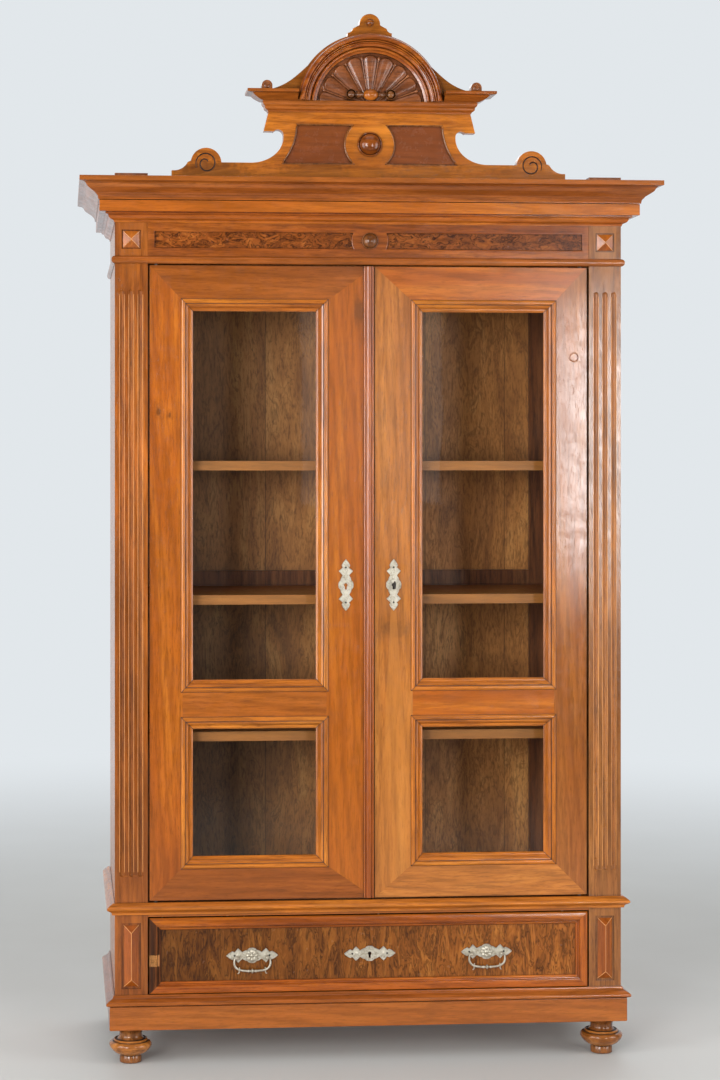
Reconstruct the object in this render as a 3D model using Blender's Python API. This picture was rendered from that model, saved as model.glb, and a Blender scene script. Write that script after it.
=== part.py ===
"""Two-door glazed walnut cabinet with a base drawer, a mitred cornice and a carved crest.

Metres, +Z up, +Y to the back. The origin lies on the floor, under the middle of the whole cabinet.
"""

import math

import bmesh
import bpy
from mathutils import Vector

# Fits
SEAT = 0.0003  # gap between pieces that touch
RUNNING = 0.0005  # clearance round a pin that turns

# Case: overall sizes and the stack of heights, from the floor up
BODY_WIDTH = 1.100
BODY_DEPTH = 0.445
FOOT_HEIGHT = 0.077
PLINTH_HEIGHT = 0.0515
BASE_MOULD_HEIGHT = 0.0225
DRAWER_OPENING = 0.1665
WAIST_HEIGHT = 0.0305
DOOR_OPENING = 1.3685
NECK_HEIGHT = 0.016
FRIEZE_HEIGHT = 0.0715
CORNICE_HEIGHT = 0.092

# How far each moulding stands out from the case
PLINTH_OUT = 0.0115
BASE_MOULD_OUT = 0.0185
WAIST_OUT = 0.017
NECK_OUT = 0.0075
BED_OUT = 0.020
FASCIA_OUT = 0.0335
CROWN_OUT = 0.076

# Boards
POST_WIDTH = 0.0705
POST_DEPTH = 0.028
POST_RISE = 0.014  # the posts end a little above the cornice
SIDE_THICK = 0.022
PLINTH_THICK = 0.022
CORNER_BLOCK = 0.090
FLOOR_THICK = 0.018
FRIEZE_THICK = 0.022
TOP_THICK = 0.018
BACK_THICK = 0.012
BACK_FRAME_THICK = 0.012
BACK_STILE = 0.092
BACK_RAIL = 0.070
SHELF_THICK = 0.0205
SHELF_HOUSING = 0.006  # depth of the groove that holds a shelf's end
SHELF_TONGUE = 0.011  # thickness of the tongue in that groove
SHELF_SETBACK = 0.058  # from the posts' face to a shelf's front edge
# Undersides of the shelves, above the waist board
SHELF_LEVELS = {"shelf_lower": 0.337, "shelf_middle": 0.6335, "shelf_upper": 0.925}

# Posts: three flutes, a stud above them and a long hipped field below
FLUTE_WIDTH = 0.0105
FLUTE_DEPTH = 0.004
FLUTE_PITCH = 0.0195
FLUTE_END_LOW = 0.056
FLUTE_END_HIGH = 0.055
FIELD_SINK = 0.0025
STUD_FIELD = 0.041
STUD_SIZE = 0.035
STUD_RISE = 0.009
HIP_MARGIN = 0.013  # from the drawer opening's top and bottom to the field
HIP_RISE = 0.011

# Feet
FOOT_RADIUS = 0.046
FOOT_INSET = 0.0465  # from the plinth's faces to the foot's axis

# Doors
DOOR_THICK = 0.026
DOOR_RECESS = 0.005
DOOR_SIDE_GAP = 0.004
DOOR_TOP_GAP = 0.003
MEET_GAP = 0.0025  # between the two doors
MEET_OFFSET = 0.00975  # the doors meet right of the middle, beside the cover strip
STRIP_WIDTH = 0.021
STRIP_OUT = 0.007
OUTER_STILE = 0.0675
INNER_STILE = 0.079
TOP_RAIL = 0.0715
BOTTOM_RAIL = 0.067
LOCK_RAIL = 0.0535
LOWER_LIGHT = 0.3255  # height of the lower glazed opening, moulding included
BEAD_WIDTH = 0.026
BEAD_OUT = 0.0035
BEAD_DEPTH = 0.011  # from the door's face to the glass
BEAD_LAP = 0.004  # how far the moulding laps onto the door frame
GLASS_THICK = 0.003
PIVOT_RADIUS = 0.004
PIVOT_REACH = 0.014  # how far a pivot goes into the door and into the case
PIVOT_IN = 0.014  # from the door's outer edge
PIVOT_BACK = 0.008  # from the door's face

# Metal fittings
PLATE_LENGTH = 0.108
PLATE_WIDTH = 0.0305
PLATE_THICK = 0.0018
LOCK_HEIGHT = 0.678  # key axis above the case floor
LOCK_AXIS = 0.052  # key axis from the middle of the cabinet
LOCK_WIDTH = 0.060
LOCK_TALL = 0.076
LOCK_DEEP = 0.013
BOLT_LENGTH = 0.040
BOLT_TALL = 0.013
BOLT_THICK = 0.005
BOLT_ABOVE = 0.021  # bolt's middle above the key axis
BOLT_TRAVEL = 0.010
LOCK_SETBACK = 0.0015  # lock case from the door's meeting edge
KEY_RADIUS = 0.0022
KEY_BIT = 0.008
KEY_BIT_LONG = 0.005
KEY_BOW = 0.009
KEY_REACH = 0.016  # from the plate to the bow's middle
KEYHOLE_RADIUS = 0.0034
KEY_PLAY = 0.0012  # clearance round the key's bit in the lock

# Drawer
DRAWER_GAP = 0.003
DRAWER_FRONT = 0.020
DRAWER_FIELD_BACK = 0.006  # burr field behind the posts' face
DRAWER_BEAD = 0.026
DRAWER_BEAD_OUT = 0.009
DRAWER_SIDE = 0.014
DRAWER_BOTTOM = 0.008
DRAWER_BOTTOM_UP = 0.009
DRAWER_LENGTH = 0.385
DRAWER_SIDE_DROP = 0.012  # the sides stop this far below the front's top edge
GUIDE_HEIGHT = 0.020
GUIDE_WIDTH = 0.018
GUIDE_GAP = 0.0015
HANDLE_SPREAD = 0.255
HANDLE_ABOVE = 0.079  # handle's pivot above the drawer's lower edge
EAR_SPREAD = 0.0325
EAR_RADIUS = 0.004
EAR_LONG = 0.011
EAR_BELOW = 0.004  # the ears sit below the plate's middle
BAIL_RADIUS = 0.0017
BAIL_HALF = 0.040
BAIL_DROP = 0.029

# Frieze
BURR_HEIGHT = 0.034
BURR_SINK = 0.004
BURR_LAP = 0.005
BURR_END = 0.015  # from the post to the end of the sunk field
BOSS_DISC = 0.040
BOSS_RADIUS = 0.018
BOSS_RISE = 0.014

# Crest
CREST_THICK = 0.024
CREST_SETBACK = 0.004
CREST_HALF = 0.428
CREST_FOOT = 0.021
SCROLL_RADIUS = 0.033
SCROLL_AT = 0.354
SCROLL_UP = 0.037  # volute's centre above the case top
FOOT_STEP = 0.005
HOLLOW_HALF = 0.258  # where the big hollow starts
HOOK_RADIUS = 0.012
RAMP_HEIGHT = 0.039
WAIST_HALF = 0.187  # half width of the crest's narrow part
EAR_HALF = 0.230
EAR_LOW = 0.107
CREST_NECK_HALF = 0.2195
CREST_LEDGE = 0.149  # underside of the crest's own cornice, above the case top
LEDGE_HEIGHT = 0.0235
LEDGE_OUT = 0.013
LEDGE_CROWN_HEIGHT = 0.0195
LEDGE_CROWN_OUT = 0.049
ARCH_OUTER = 0.158
ARCH_INNER = 0.118
ARCH_BOARD = 0.162
FLANK_FLARE = 0.0068  # how fast the arch's feet sweep out
ARCH_SINK = 0.013  # the arch's centre lies below the ledge
ARCH_OUT = 0.030
SHELL_LOBES = 9
SHELL_RISE = 0.012
SHELL_GROOVE = 0.006
BAR_HALF = 0.050
BAR_RADIUS = 0.0098
FINIAL_RADIUS = 0.0226
FINIAL_BASE = 0.048
FINIAL_STEP = 0.0075
FINIAL_TOP = 0.363  # above the case top
KNOB_RADIUS = 0.0114
KNOB_AT = 0.226
KNOB_UP = 0.008
KNOB_LONG = 0.026
BUTTON_RADIUS = 0.007
BUTTON_RISE = 0.006
CREST_BOSS_RADIUS = 0.0265
CREST_BOSS_RISE = 0.018
CREST_BOSS_UP = 0.081
PANEL_LOW = 0.0395
PANEL_HIGH = 0.121
PANEL_SINK = 0.005
PANEL_LAP = 0.005
PANEL_MARGIN = 0.030  # frame of the crest beside its outer edge
PANEL_ROUND = 0.056  # radius of the frame round the boss

# Places worked out from the sizes above
HALF = BODY_WIDTH / 2
FACE = (CROWN_OUT - BODY_DEPTH) / 2  # plane of the posts' fronts
BACK = FACE + BODY_DEPTH
Z_BASE = FOOT_HEIGHT + PLINTH_HEIGHT
Z_FLOOR = Z_BASE + BASE_MOULD_HEIGHT
Z_WAIST = Z_FLOOR + DRAWER_OPENING
Z_DOORS = Z_WAIST + WAIST_HEIGHT
Z_NECK = Z_DOORS + DOOR_OPENING
Z_FRIEZE = Z_NECK + NECK_HEIGHT
Z_CORNICE = Z_FRIEZE + FRIEZE_HEIGHT
Z_TOP = Z_CORNICE + CORNICE_HEIGHT
POST_IN = HALF - POST_WIDTH
POST_X = HALF - POST_WIDTH / 2
SIDE_IN = HALF - SIDE_THICK
INNER_BACK = BACK - BACK_THICK - SEAT - BACK_FRAME_THICK
DOOR_FACE = FACE + DOOR_RECESS
DOOR_REAR = DOOR_FACE + DOOR_THICK
DOOR_LOW = Z_DOORS + DOOR_TOP_GAP
DOOR_HIGH = Z_NECK - DOOR_TOP_GAP
DOOR_OUT = POST_IN - DOOR_SIDE_GAP
PIVOT_X = DOOR_OUT - PIVOT_IN
PIVOT_Y = DOOR_FACE + PIVOT_BACK
LEFT_MEET = MEET_OFFSET - MEET_GAP / 2
RIGHT_MEET = MEET_OFFSET + MEET_GAP / 2
LIGHT_IN = RIGHT_MEET + INNER_STILE  # edge of the glazed openings nearest the middle
LIGHT_OUT = DOOR_OUT - OUTER_STILE
LIGHTS = {
    "lower": (DOOR_LOW + BOTTOM_RAIL, DOOR_LOW + BOTTOM_RAIL + LOWER_LIGHT),
    "upper": (DOOR_LOW + BOTTOM_RAIL + LOWER_LIGHT + LOCK_RAIL, DOOR_HIGH - TOP_RAIL),
}
LOCK_Z = Z_DOORS + LOCK_HEIGHT
DRAWER_HALF = POST_IN - DRAWER_GAP
DRAWER_LOW = Z_FLOOR + SEAT
DRAWER_HIGH = Z_WAIST - DRAWER_GAP
FIELD_Y = FACE + DRAWER_FIELD_BACK
HANDLE_Z = DRAWER_LOW + HANDLE_ABOVE
CREST_FACE = FACE + CREST_SETBACK
Z_CREST = Z_TOP + SEAT
Z_LEDGE = Z_TOP + CREST_LEDGE
Z_ARCH_FOOT = Z_LEDGE + LEDGE_HEIGHT
Z_ARCH = Z_ARCH_FOOT - ARCH_SINK
Z_BURR = Z_FRIEZE + FRIEZE_HEIGHT / 2

ROUND = 20  # sides of turned work
SIDES = {"left": -1, "right": 1}
AXES = {"X": (1, 2, 0), "Y": (0, 2, 1), "Z": (0, 1, 2)}


# Shapes, each a bmesh

def block(low, high):
    """A box between two opposite corners."""
    bm = bmesh.new()
    bmesh.ops.create_cube(bm, size=1.0)
    for vert in bm.verts:
        vert.co = Vector([(a + b) / 2 + c * (b - a) for a, b, c in zip(low, high, vert.co)])
    return bm


def skinned(loops, ring=False):
    """Faces between matching loops of points, with end caps or, for a ring, back to the first loop."""
    bm = bmesh.new()
    rows = [[bm.verts.new(point) for point in loop] for loop in loops]
    for near, far in zip(rows, rows[1:] + rows[:1] if ring else rows[1:]):
        for i in range(len(near)):
            bm.faces.new((near[i - 1], near[i], far[i], far[i - 1]))
    if not ring:
        bm.faces.new(rows[0])
        bm.faces.new(rows[-1])
    bmesh.ops.recalc_face_normals(bm, faces=bm.faces)
    return bm


def prism(outline, axis, start, end):
    """A closed outline drawn across an axis and extruded along it."""
    first, second, along = AXES[axis]
    loops = []
    for distance in (start, end):
        loop = []
        for a, b in outline:
            point = [0.0, 0.0, 0.0]
            point[first], point[second], point[along] = a, b, distance
            loop.append(point)
        loops.append(loop)
    return skinned(loops)


def turned(profile, centre, axis="Z", sides=ROUND):
    """Turned work: (radius, distance along the axis) pairs, with no radius of 0 but at the ends."""
    first, second, along = AXES[axis]
    bm = bmesh.new()
    rows = []
    for radius, distance in profile:
        row = []
        for i in range(sides if radius else 1):
            turn = 2 * math.pi * i / sides
            point = list(centre)
            point[first] += radius * math.cos(turn)
            point[second] += radius * math.sin(turn)
            point[along] += distance
            row.append(bm.verts.new(point))
        rows.append(row)
    for near, far in zip(rows, rows[1:]):
        for i in range(sides):
            corners = [near[i - 1], near[i], far[i], far[i - 1]] if len(near) == len(far) else None
            if corners is None:
                tip, rim = (near[0], far) if len(near) == 1 else (far[0], near)
                corners = [tip, rim[i - 1], rim[i]]
            bm.faces.new(corners)
    for row in (rows[0], rows[-1]):
        if len(row) > 1:
            bm.faces.new(row)
    bmesh.ops.recalc_face_normals(bm, faces=bm.faces)
    return bm


def wrapped(profile, half, face, back):
    """A moulding round the front and both sides, mitred; profile holds (out, height) pairs."""
    left_front = [(-half - out, face - out, z) for out, z in profile]
    right_front = [(half + out, face - out, z) for out, z in profile]
    left_back, right_back = ([(x, back, z) for x, _, z in loop] for loop in (left_front, right_front))
    return skinned([left_back, left_front, right_front, right_back])


def framed(profile, low, high, face):
    """A moulding mitred round a rectangle that faces forward; profile holds (inward, out) pairs."""
    loops = []
    for x_end, z_end in ((0, 0), (1, 0), (1, 1), (0, 1)):
        loop = []
        for inward, out in profile:
            x = high[0] - inward if x_end else low[0] + inward
            z = high[1] - inward if z_end else low[1] + inward
            loop.append((x, face - out, z))
        loops.append(loop)
    return skinned(loops, ring=True)


def arc(centre, radius, start, end, steps):
    """Points on an arc, angles in degrees, both ends included."""
    points = []
    for i in range(steps + 1):
        turn = math.radians(start + (end - start) * i / steps)
        points.append((centre[0] + radius * math.cos(turn), centre[1] + radius * math.sin(turn)))
    return points


def mirrored(points):
    """A right-hand outline joined to its mirror image."""
    return points + [(-a, b) for a, b in reversed(points) if abs(a) > 1e-9]


def joined(*shapes):
    """Several bmeshes in one, still separate bodies."""
    whole = bmesh.new()
    for shape in shapes:
        mesh = bpy.data.meshes.new("part")
        shape.to_mesh(mesh)
        whole.from_mesh(mesh)
        bpy.data.meshes.remove(mesh)
        shape.free()
    return whole


# Objects

def material(name, colour, roughness, metallic=0.0, transmission=0.0):
    made = bpy.data.materials.new(name)
    made.use_nodes = True
    made.diffuse_color = (*colour, 1.0)
    shader = made.node_tree.nodes["Principled BSDF"]
    shader.inputs["Base Color"].default_value = (*colour, 1.0)
    shader.inputs["Roughness"].default_value = roughness
    shader.inputs["Metallic"].default_value = metallic
    shader.inputs["Transmission Weight"].default_value = transmission
    return made


def axis_empty(name, place, parent=None):
    """An empty on a joint's axis, for what turns or slides there."""
    empty = bpy.data.objects.new(name, None)
    empty.location = Vector(place) - (parent.location if parent else Vector())
    empty["place"] = list(place)
    empty.parent = parent
    bpy.context.collection.objects.link(empty)
    return empty


def world_place(empty):
    return Vector(empty["place"]) if empty else Vector()


def piece(name, shape, finish, parent=None, smooth=False):
    """A named object from a bmesh in world coordinates, set under its parent empty."""
    bmesh.ops.translate(shape, verts=shape.verts, vec=-world_place(parent))
    mesh = bpy.data.meshes.new(name)
    shape.to_mesh(mesh)
    shape.free()
    if finish:
        mesh.materials.append(finish)
    if smooth:
        mesh.shade_smooth()
        mesh.set_sharp_from_angle(angle=math.radians(35))
    made = bpy.data.objects.new(name, mesh)
    made.parent = parent
    bpy.context.collection.objects.link(made)
    return made


def combine(target, shape, operation):
    """A hidden helper that a Boolean cuts from the target or joins to it."""
    helper = piece(f"{target.name}_{operation.lower()}_{len(target.modifiers)}", shape, None)
    helper.hide_render = True
    helper.display_type = "WIRE"
    modifier = target.modifiers.new(operation.lower(), "BOOLEAN")
    modifier.operation = operation
    modifier.object = helper


def cut(target, *shapes):
    combine(target, joined(*shapes), "DIFFERENCE")


def weld_on(target, *shapes):
    for shape in shapes:
        combine(target, shape, "UNION")


# Base: feet, plinth, mouldings and boards

def foot_profile():
    """Turned bun foot: collar, neck, wide bun and pad, from the floor up."""
    rows = ((0.47, 0.0), (0.515, 0.02), (0.515, 0.21), (0.57, 0.26), (0.76, 0.32), (0.94, 0.41), (1.0, 0.50),
            (0.96, 0.57), (0.86, 0.61), (0.74, 0.63), (0.71, 0.66), (0.60, 0.70), (0.54, 0.75), (0.53, 0.81),
            (0.57, 0.88), (0.68, 0.95), (0.71, 0.98), (0.71, 1.0))
    tall = FOOT_HEIGHT - SEAT
    return [(radius * FOOT_RADIUS, height * tall) for radius, height in rows]


def make_feet(walnut):
    for side, sign in SIDES.items():
        x = sign * (HALF + PLINTH_OUT - FOOT_INSET)
        for end, y in (("front", FACE - PLINTH_OUT + FOOT_INSET), ("rear", BACK - FOOT_INSET)):
            piece(f"foot_{end}_{side}", turned(foot_profile(), (x, y, 0)), walnut, smooth=True)


def make_plinth(walnut):
    outer = HALF + PLINTH_OUT
    front = FACE - PLINTH_OUT
    low, high = FOOT_HEIGHT, Z_BASE - SEAT
    plinth = piece("plinth_frame", block((-outer, front, low), (outer, BACK, high)), walnut)
    inner = outer - PLINTH_THICK
    near, far = front + PLINTH_THICK, BACK - PLINTH_THICK
    reach = CORNER_BLOCK - PLINTH_THICK
    hollow = [(inner - reach, near), (inner, near + reach), (inner, far - reach), (inner - reach, far)]
    hollow += [(-x, y) for x, y in reversed(hollow)]
    cut(plinth, prism(hollow, "Z", low - FLOOR_THICK, high + FLOOR_THICK))


def base_mould_profile():
    """Ogee that falls from the posts to a nosing over the plinth."""
    low, tall = Z_BASE, BASE_MOULD_HEIGHT
    curve = [(0.0, 1.0), (0.14, 1.0), (0.18, 0.84), (0.30, 0.70), (0.50, 0.60), (0.72, 0.50), (0.90, 0.40),
             (1.0, 0.30), (1.0, 0.14), (0.86, 0.08), (0.70, 0.02), (0.0, 0.02)]
    return [(SEAT + out * (BASE_MOULD_OUT - SEAT), low + up * tall) for out, up in curve]


def waist_profile():
    """Nosing between the drawer and the doors, rounded above and hollowed below."""
    low, tall = Z_WAIST, WAIST_HEIGHT - SEAT
    curve = [(0.0, 1.0), (0.25, 1.0), (0.55, 0.90), (0.82, 0.79), (1.0, 0.68), (1.0, 0.60), (0.88, 0.53),
             (0.70, 0.46), (0.50, 0.40), (0.38, 0.32), (0.34, 0.18), (0.0, 0.18)]
    return [(SEAT + out * (WAIST_OUT - SEAT), low + up * tall) for out, up in curve]


def stepped_board(front, low, high):
    """A board that fills the case, with a tongue between the posts."""
    inner, between = SIDE_IN - SEAT, POST_IN - SEAT
    shoulder = FACE + POST_DEPTH + SEAT
    right = [(between, front), (between, shoulder), (inner, shoulder), (inner, INNER_BACK - SEAT)]
    return prism(right + [(-x, y) for x, y in reversed(right)], "Z", low, high)


def make_base(walnut, oak):
    make_feet(walnut)
    make_plinth(walnut)
    piece("base_moulding", wrapped(base_mould_profile(), HALF, FACE, BACK), walnut)
    floor = piece("base_floor", stepped_board(FACE, Z_FLOOR - FLOOR_THICK, Z_FLOOR), oak)
    for sign in SIDES.values():
        near = sign * (DRAWER_HALF - DRAWER_GAP + GUIDE_GAP)
        ends = sorted((near, near + sign * GUIDE_WIDTH))
        guide = block((ends[0], FACE + POST_DEPTH + GUIDE_GAP, Z_FLOOR - FLOOR_THICK / 2),
                      (ends[1], INNER_BACK - GUIDE_WIDTH, Z_FLOOR + GUIDE_HEIGHT))
        weld_on(floor, guide)
    waist = piece("waist_board", stepped_board(FACE, Z_WAIST, Z_DOORS - SEAT), oak)
    cut(waist, *[pivot_hole(sign, Z_DOORS) for sign in SIDES.values()])
    piece("waist_moulding", wrapped(waist_profile(), HALF, FACE, BACK), walnut)


# Case: posts, sides, back, shelves and top

def capsule(x, radius, centre_y, low, high):
    """A round-ended upright bar, the tool that cuts a flute."""
    profile = arc((0, low + radius), radius, -90, 0, 3) + arc((0, high - radius), radius, 0, 90, 3)
    profile[0] = (0, profile[0][1])
    profile[-1] = (0, profile[-1][1])
    return turned(profile, (x, centre_y, 0), sides=16)


def hipped(x, z, wide, tall, floor, rise):
    """A hipped block on a sunk field, with its ridge along the longer side."""
    half_x, half_z = wide / 2, tall / 2
    ridge = max(half_z - half_x, 0.0005)
    bm = bmesh.new()
    rows = []
    for y in (floor + FIELD_SINK, floor):
        rows.append([bm.verts.new((x + a * half_x, y, z + b * half_z))
                     for a, b in ((-1, -1), (1, -1), (1, 1), (-1, 1))])
    low, high = (bm.verts.new((x, floor - rise, z + end * ridge)) for end in (-1, 1))
    for i in range(4):
        bm.faces.new((rows[0][i - 1], rows[0][i], rows[1][i], rows[1][i - 1]))
    bm.faces.new(rows[0])
    sw, se, ne, nw = rows[1]
    for corners in ((sw, se, low), (se, ne, high, low), (ne, nw, high), (nw, sw, low, high)):
        bm.faces.new(corners)
    bmesh.ops.recalc_face_normals(bm, faces=bm.faces)
    return bm


def make_posts(walnut):
    radius = (FLUTE_WIDTH ** 2 / 4 + FLUTE_DEPTH ** 2) / (2 * FLUTE_DEPTH)
    flute_y = FACE + FLUTE_DEPTH - radius
    floor = FACE + FIELD_SINK
    hip_tall = DRAWER_OPENING - 2 * HIP_MARGIN
    hip_z = (Z_FLOOR + Z_WAIST) / 2
    for side, sign in SIDES.items():
        ends = sorted((sign * POST_IN, sign * HALF))
        shaft = block((ends[0], FACE, Z_BASE), (ends[1], FACE + POST_DEPTH, Z_TOP + POST_RISE))
        post = piece(f"post_{side}", shaft, walnut)
        centre = sign * POST_X
        tools = [capsule(centre + step * FLUTE_PITCH, radius, flute_y, Z_DOORS + FLUTE_END_LOW,
                         Z_NECK - FLUTE_END_HIGH) for step in (-1, 0, 1)]
        half_field = STUD_FIELD / 2
        for z, half_z in ((Z_BURR, half_field), (hip_z, hip_tall / 2)):
            tools.append(block((centre - half_field, FACE - FIELD_SINK, z - half_z),
                               (centre + half_field, floor, z + half_z)))
        cut(post, *tools)
        margin = STUD_FIELD - STUD_SIZE
        weld_on(post, hipped(centre, Z_BURR, STUD_SIZE, STUD_SIZE, floor, STUD_RISE),
                hipped(centre, hip_z, STUD_SIZE, hip_tall - margin, floor, HIP_RISE))


def make_case(walnut, oak):
    make_posts(walnut)
    near = FACE + POST_DEPTH + SEAT
    for side, sign in SIDES.items():
        ends = sorted((sign * SIDE_IN, sign * HALF))
        panel = piece(f"side_{side}", block((ends[0], near, Z_BASE), (ends[1], BACK, Z_TOP)), walnut)
        grooves = []
        for level in SHELF_LEVELS.values():
            depth = sorted((sign * (SIDE_IN - SIDE_THICK), sign * (SIDE_IN + SHELF_HOUSING)))
            grooves.append(block((depth[0], FACE + SHELF_SETBACK - SEAT, Z_DOORS + level - SEAT),
                                 (depth[1], INNER_BACK, Z_DOORS + level + SHELF_TONGUE + SEAT)))
        cut(panel, *grooves)
    for name, level in SHELF_LEVELS.items():
        piece(name, shelf(Z_DOORS + level), oak)
    inner = SIDE_IN - SEAT
    piece("back_panel", block((-inner, BACK - BACK_THICK, Z_BASE), (inner, BACK, Z_TOP)), oak)
    whole = block((-inner, INNER_BACK, Z_BASE), (inner, INNER_BACK + BACK_FRAME_THICK, Z_TOP))
    frame = piece("back_frame", whole, oak)
    rail_high = Z_DOORS + SHELF_LEVELS["shelf_middle"] + SHELF_THICK + BACK_RAIL / 2
    stages = ((Z_BASE + BACK_RAIL, rail_high - BACK_RAIL), (rail_high, Z_TOP - BACK_RAIL))
    cut(frame, *[block((BACK_STILE - inner, INNER_BACK - SIDE_THICK, low), (inner - BACK_STILE, BACK, high))
                 for low, high in stages])
    make_top(oak)


def shelf(low):
    """A shelf whose ends are thinned to tongues for the grooves in the sides."""
    reach = SIDE_IN + SHELF_HOUSING - SEAT
    shoulder = SIDE_IN - SEAT
    step, high = low + SHELF_TONGUE, low + SHELF_THICK
    right = [(reach, low), (reach, step), (shoulder, step), (shoulder, high)]
    return prism(mirrored(right), "Y", FACE + SHELF_SETBACK, INNER_BACK - SEAT)


def make_top(oak):
    """Top board, notched round the posts."""
    inner = SIDE_IN - SEAT
    near = FACE + FRIEZE_THICK + SEAT
    shoulder = FACE + POST_DEPTH + SEAT
    between = POST_IN - SEAT
    right = [(between, near), (between, shoulder), (inner, shoulder), (inner, INNER_BACK - SEAT)]
    outline = right + [(-x, y) for x, y in reversed(right)]
    piece("top_board", prism(outline, "Z", Z_TOP - TOP_THICK, Z_TOP), oak)


# Frieze and cornice

def burr_window(sign):
    """Sunk field of the frieze, straight at the post and hollowed round the boss."""
    half = BURR_HEIGHT / 2
    swing = math.degrees(math.asin(half / BOSS_DISC))
    outline = arc((0, Z_BURR), BOSS_DISC, -swing, swing, 6)
    outline += [(POST_IN - BURR_END, Z_BURR + half), (POST_IN - BURR_END, Z_BURR - half)]
    return prism([(sign * x, z) for x, z in outline], "Y", FACE - BURR_SINK, FACE + FRIEZE_THICK)


def make_frieze(walnut, burr):
    inner = POST_IN - SEAT
    board = piece("frieze_board", block((-inner, FACE, Z_NECK), (inner, FACE + FRIEZE_THICK, Z_TOP)), walnut)
    reach = POST_IN - BURR_END + BURR_LAP
    half = BURR_HEIGHT / 2 + BURR_LAP
    sunk = FACE + BURR_SINK
    cut(board, block((-reach, sunk, Z_BURR - half), (reach, sunk + FRIEZE_THICK, Z_BURR + half)))
    cut(board, *[burr_window(sign) for sign in SIDES.values()])
    cut(board, *[pivot_hole(sign, Z_NECK) for sign in SIDES.values()])
    piece("frieze_burr", block((SEAT - reach, FACE + BURR_SINK + SEAT, Z_BURR - half + SEAT),
                               (reach - SEAT, FACE + FRIEZE_THICK - SEAT, Z_BURR + half - SEAT)), burr)
    piece("frieze_boss", boss(BOSS_RADIUS, BOSS_RISE, (0, FACE - SEAT, Z_BURR)), walnut, smooth=True)
    middle = (Z_NECK + Z_FRIEZE) / 2
    neck = []
    for turn in range(-90, 91, 20):
        out = (NECK_OUT - SEAT) * math.cos(math.radians(turn))
        neck.append((SEAT + out, middle + NECK_HEIGHT / 2 * math.sin(math.radians(turn))))
    piece("neck_moulding", wrapped(neck, HALF, FACE, BACK), walnut)


def boss(radius, rise, centre):
    """A turned button with a quirk round its dome, facing forward."""
    lip = rise * 0.25
    dome = []
    for turn in (0, 18, 36, 54, 72):
        up = (rise - lip) * math.sin(math.radians(turn))
        dome.append((radius * 0.86 * math.cos(math.radians(turn)), -lip - up))
    rim = [(radius, 0.0), (radius, -rise * 0.22), (radius * 0.93, -rise * 0.30)]
    return turned(rim + dome + [(0, -rise)], centre, axis="Y")


def cornice_profile():
    """Bed moulding, fascia and crown, from the frieze up."""
    low, tall = Z_CORNICE, CORNICE_HEIGHT
    step = CROWN_OUT - FASCIA_OUT
    bed = [(0.06, 0.0), (0.10, 0.035), (0.22, 0.06), (0.50, 0.085), (0.66, 0.13), (0.72, 0.175), (1.0, 0.19),
           (1.0, 0.225)]
    crown = [(0.0, 0.23), (0.0, 0.489), (0.054, 0.50), (0.075, 0.56), (0.12, 0.60), (0.173, 0.62),
             (0.22, 0.65), (0.374, 0.696), (0.48, 0.728), (0.60, 0.77), (0.67, 0.826), (0.764, 0.87),
             (1.0, 0.89), (1.0, 1.0)]
    profile = [(SEAT, low)]
    profile += [(SEAT + out * BED_OUT, low + up * tall) for out, up in bed]
    profile += [(FASCIA_OUT + out * step, low + up * tall) for out, up in crown]
    return profile + [(SEAT, low + tall)]


def make_cornice(walnut):
    profile = cornice_profile()
    front = [[(sign * (HALF + out), FACE - out, z) for out, z in profile] for sign in (-1, 1)]
    piece("cornice_front", skinned(front), walnut)
    for side, sign in SIDES.items():
        run = [[(sign * (HALF + out), FACE - out + 2 * SEAT, z) for out, z in profile],
               [(sign * (HALF + out), BACK, z) for out, z in profile]]
        piece(f"cornice_{side}", skinned(run), walnut)


# Crest

def crest_outline():
    """Right half of the crest board, from the foot's end to the top of the finial."""
    points = [(CREST_HALF, Z_CREST), (CREST_HALF, Z_CREST + CREST_FOOT)]
    points += scroll_outline() + hollow_outline() + flank_outline()
    brow = math.acos(FINIAL_BASE / ARCH_BOARD)
    return points + finial_outline(Z_ARCH + ARCH_BOARD * math.sin(brow))


def scroll_outline():
    """A hollow up from the foot's end, a small step and the round of the volute."""
    foot = Z_CREST + CREST_FOOT
    points = arc((CREST_HALF - FOOT_STEP, foot + SCROLL_RADIUS), SCROLL_RADIUS, 270, 207, 5)
    points += [(points[-1][0] - FOOT_STEP, points[-1][1] + FOOT_STEP / 2)]
    return points + arc((SCROLL_AT, Z_CREST + SCROLL_UP), SCROLL_RADIUS, 8, 176, 12)


def hollow_outline():
    """The flat beside the volute, the big hollow, its hook and the block under the crest's cornice."""
    ramp = Z_CREST + RAMP_HEIGHT
    ear = Z_CREST + EAR_LOW
    hook = ear - HOOK_RADIUS * 0.7
    points = [(SCROLL_AT - SCROLL_RADIUS, ramp)]
    for i in range(9):
        turn = math.radians(90 * i / 8)
        x = HOLLOW_HALF - (HOLLOW_HALF - WAIST_HALF) * math.sin(turn)
        points.append((x, ramp + (hook - HOOK_RADIUS / 4 - ramp) * (1 - math.cos(turn))))
    points += arc((WAIST_HALF + HOOK_RADIUS, hook), HOOK_RADIUS, 175, 40, 5)
    return points + [(WAIST_HALF + 2 * HOOK_RADIUS, ear), (EAR_HALF, ear), (CREST_NECK_HALF, Z_LEDGE)]


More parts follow.
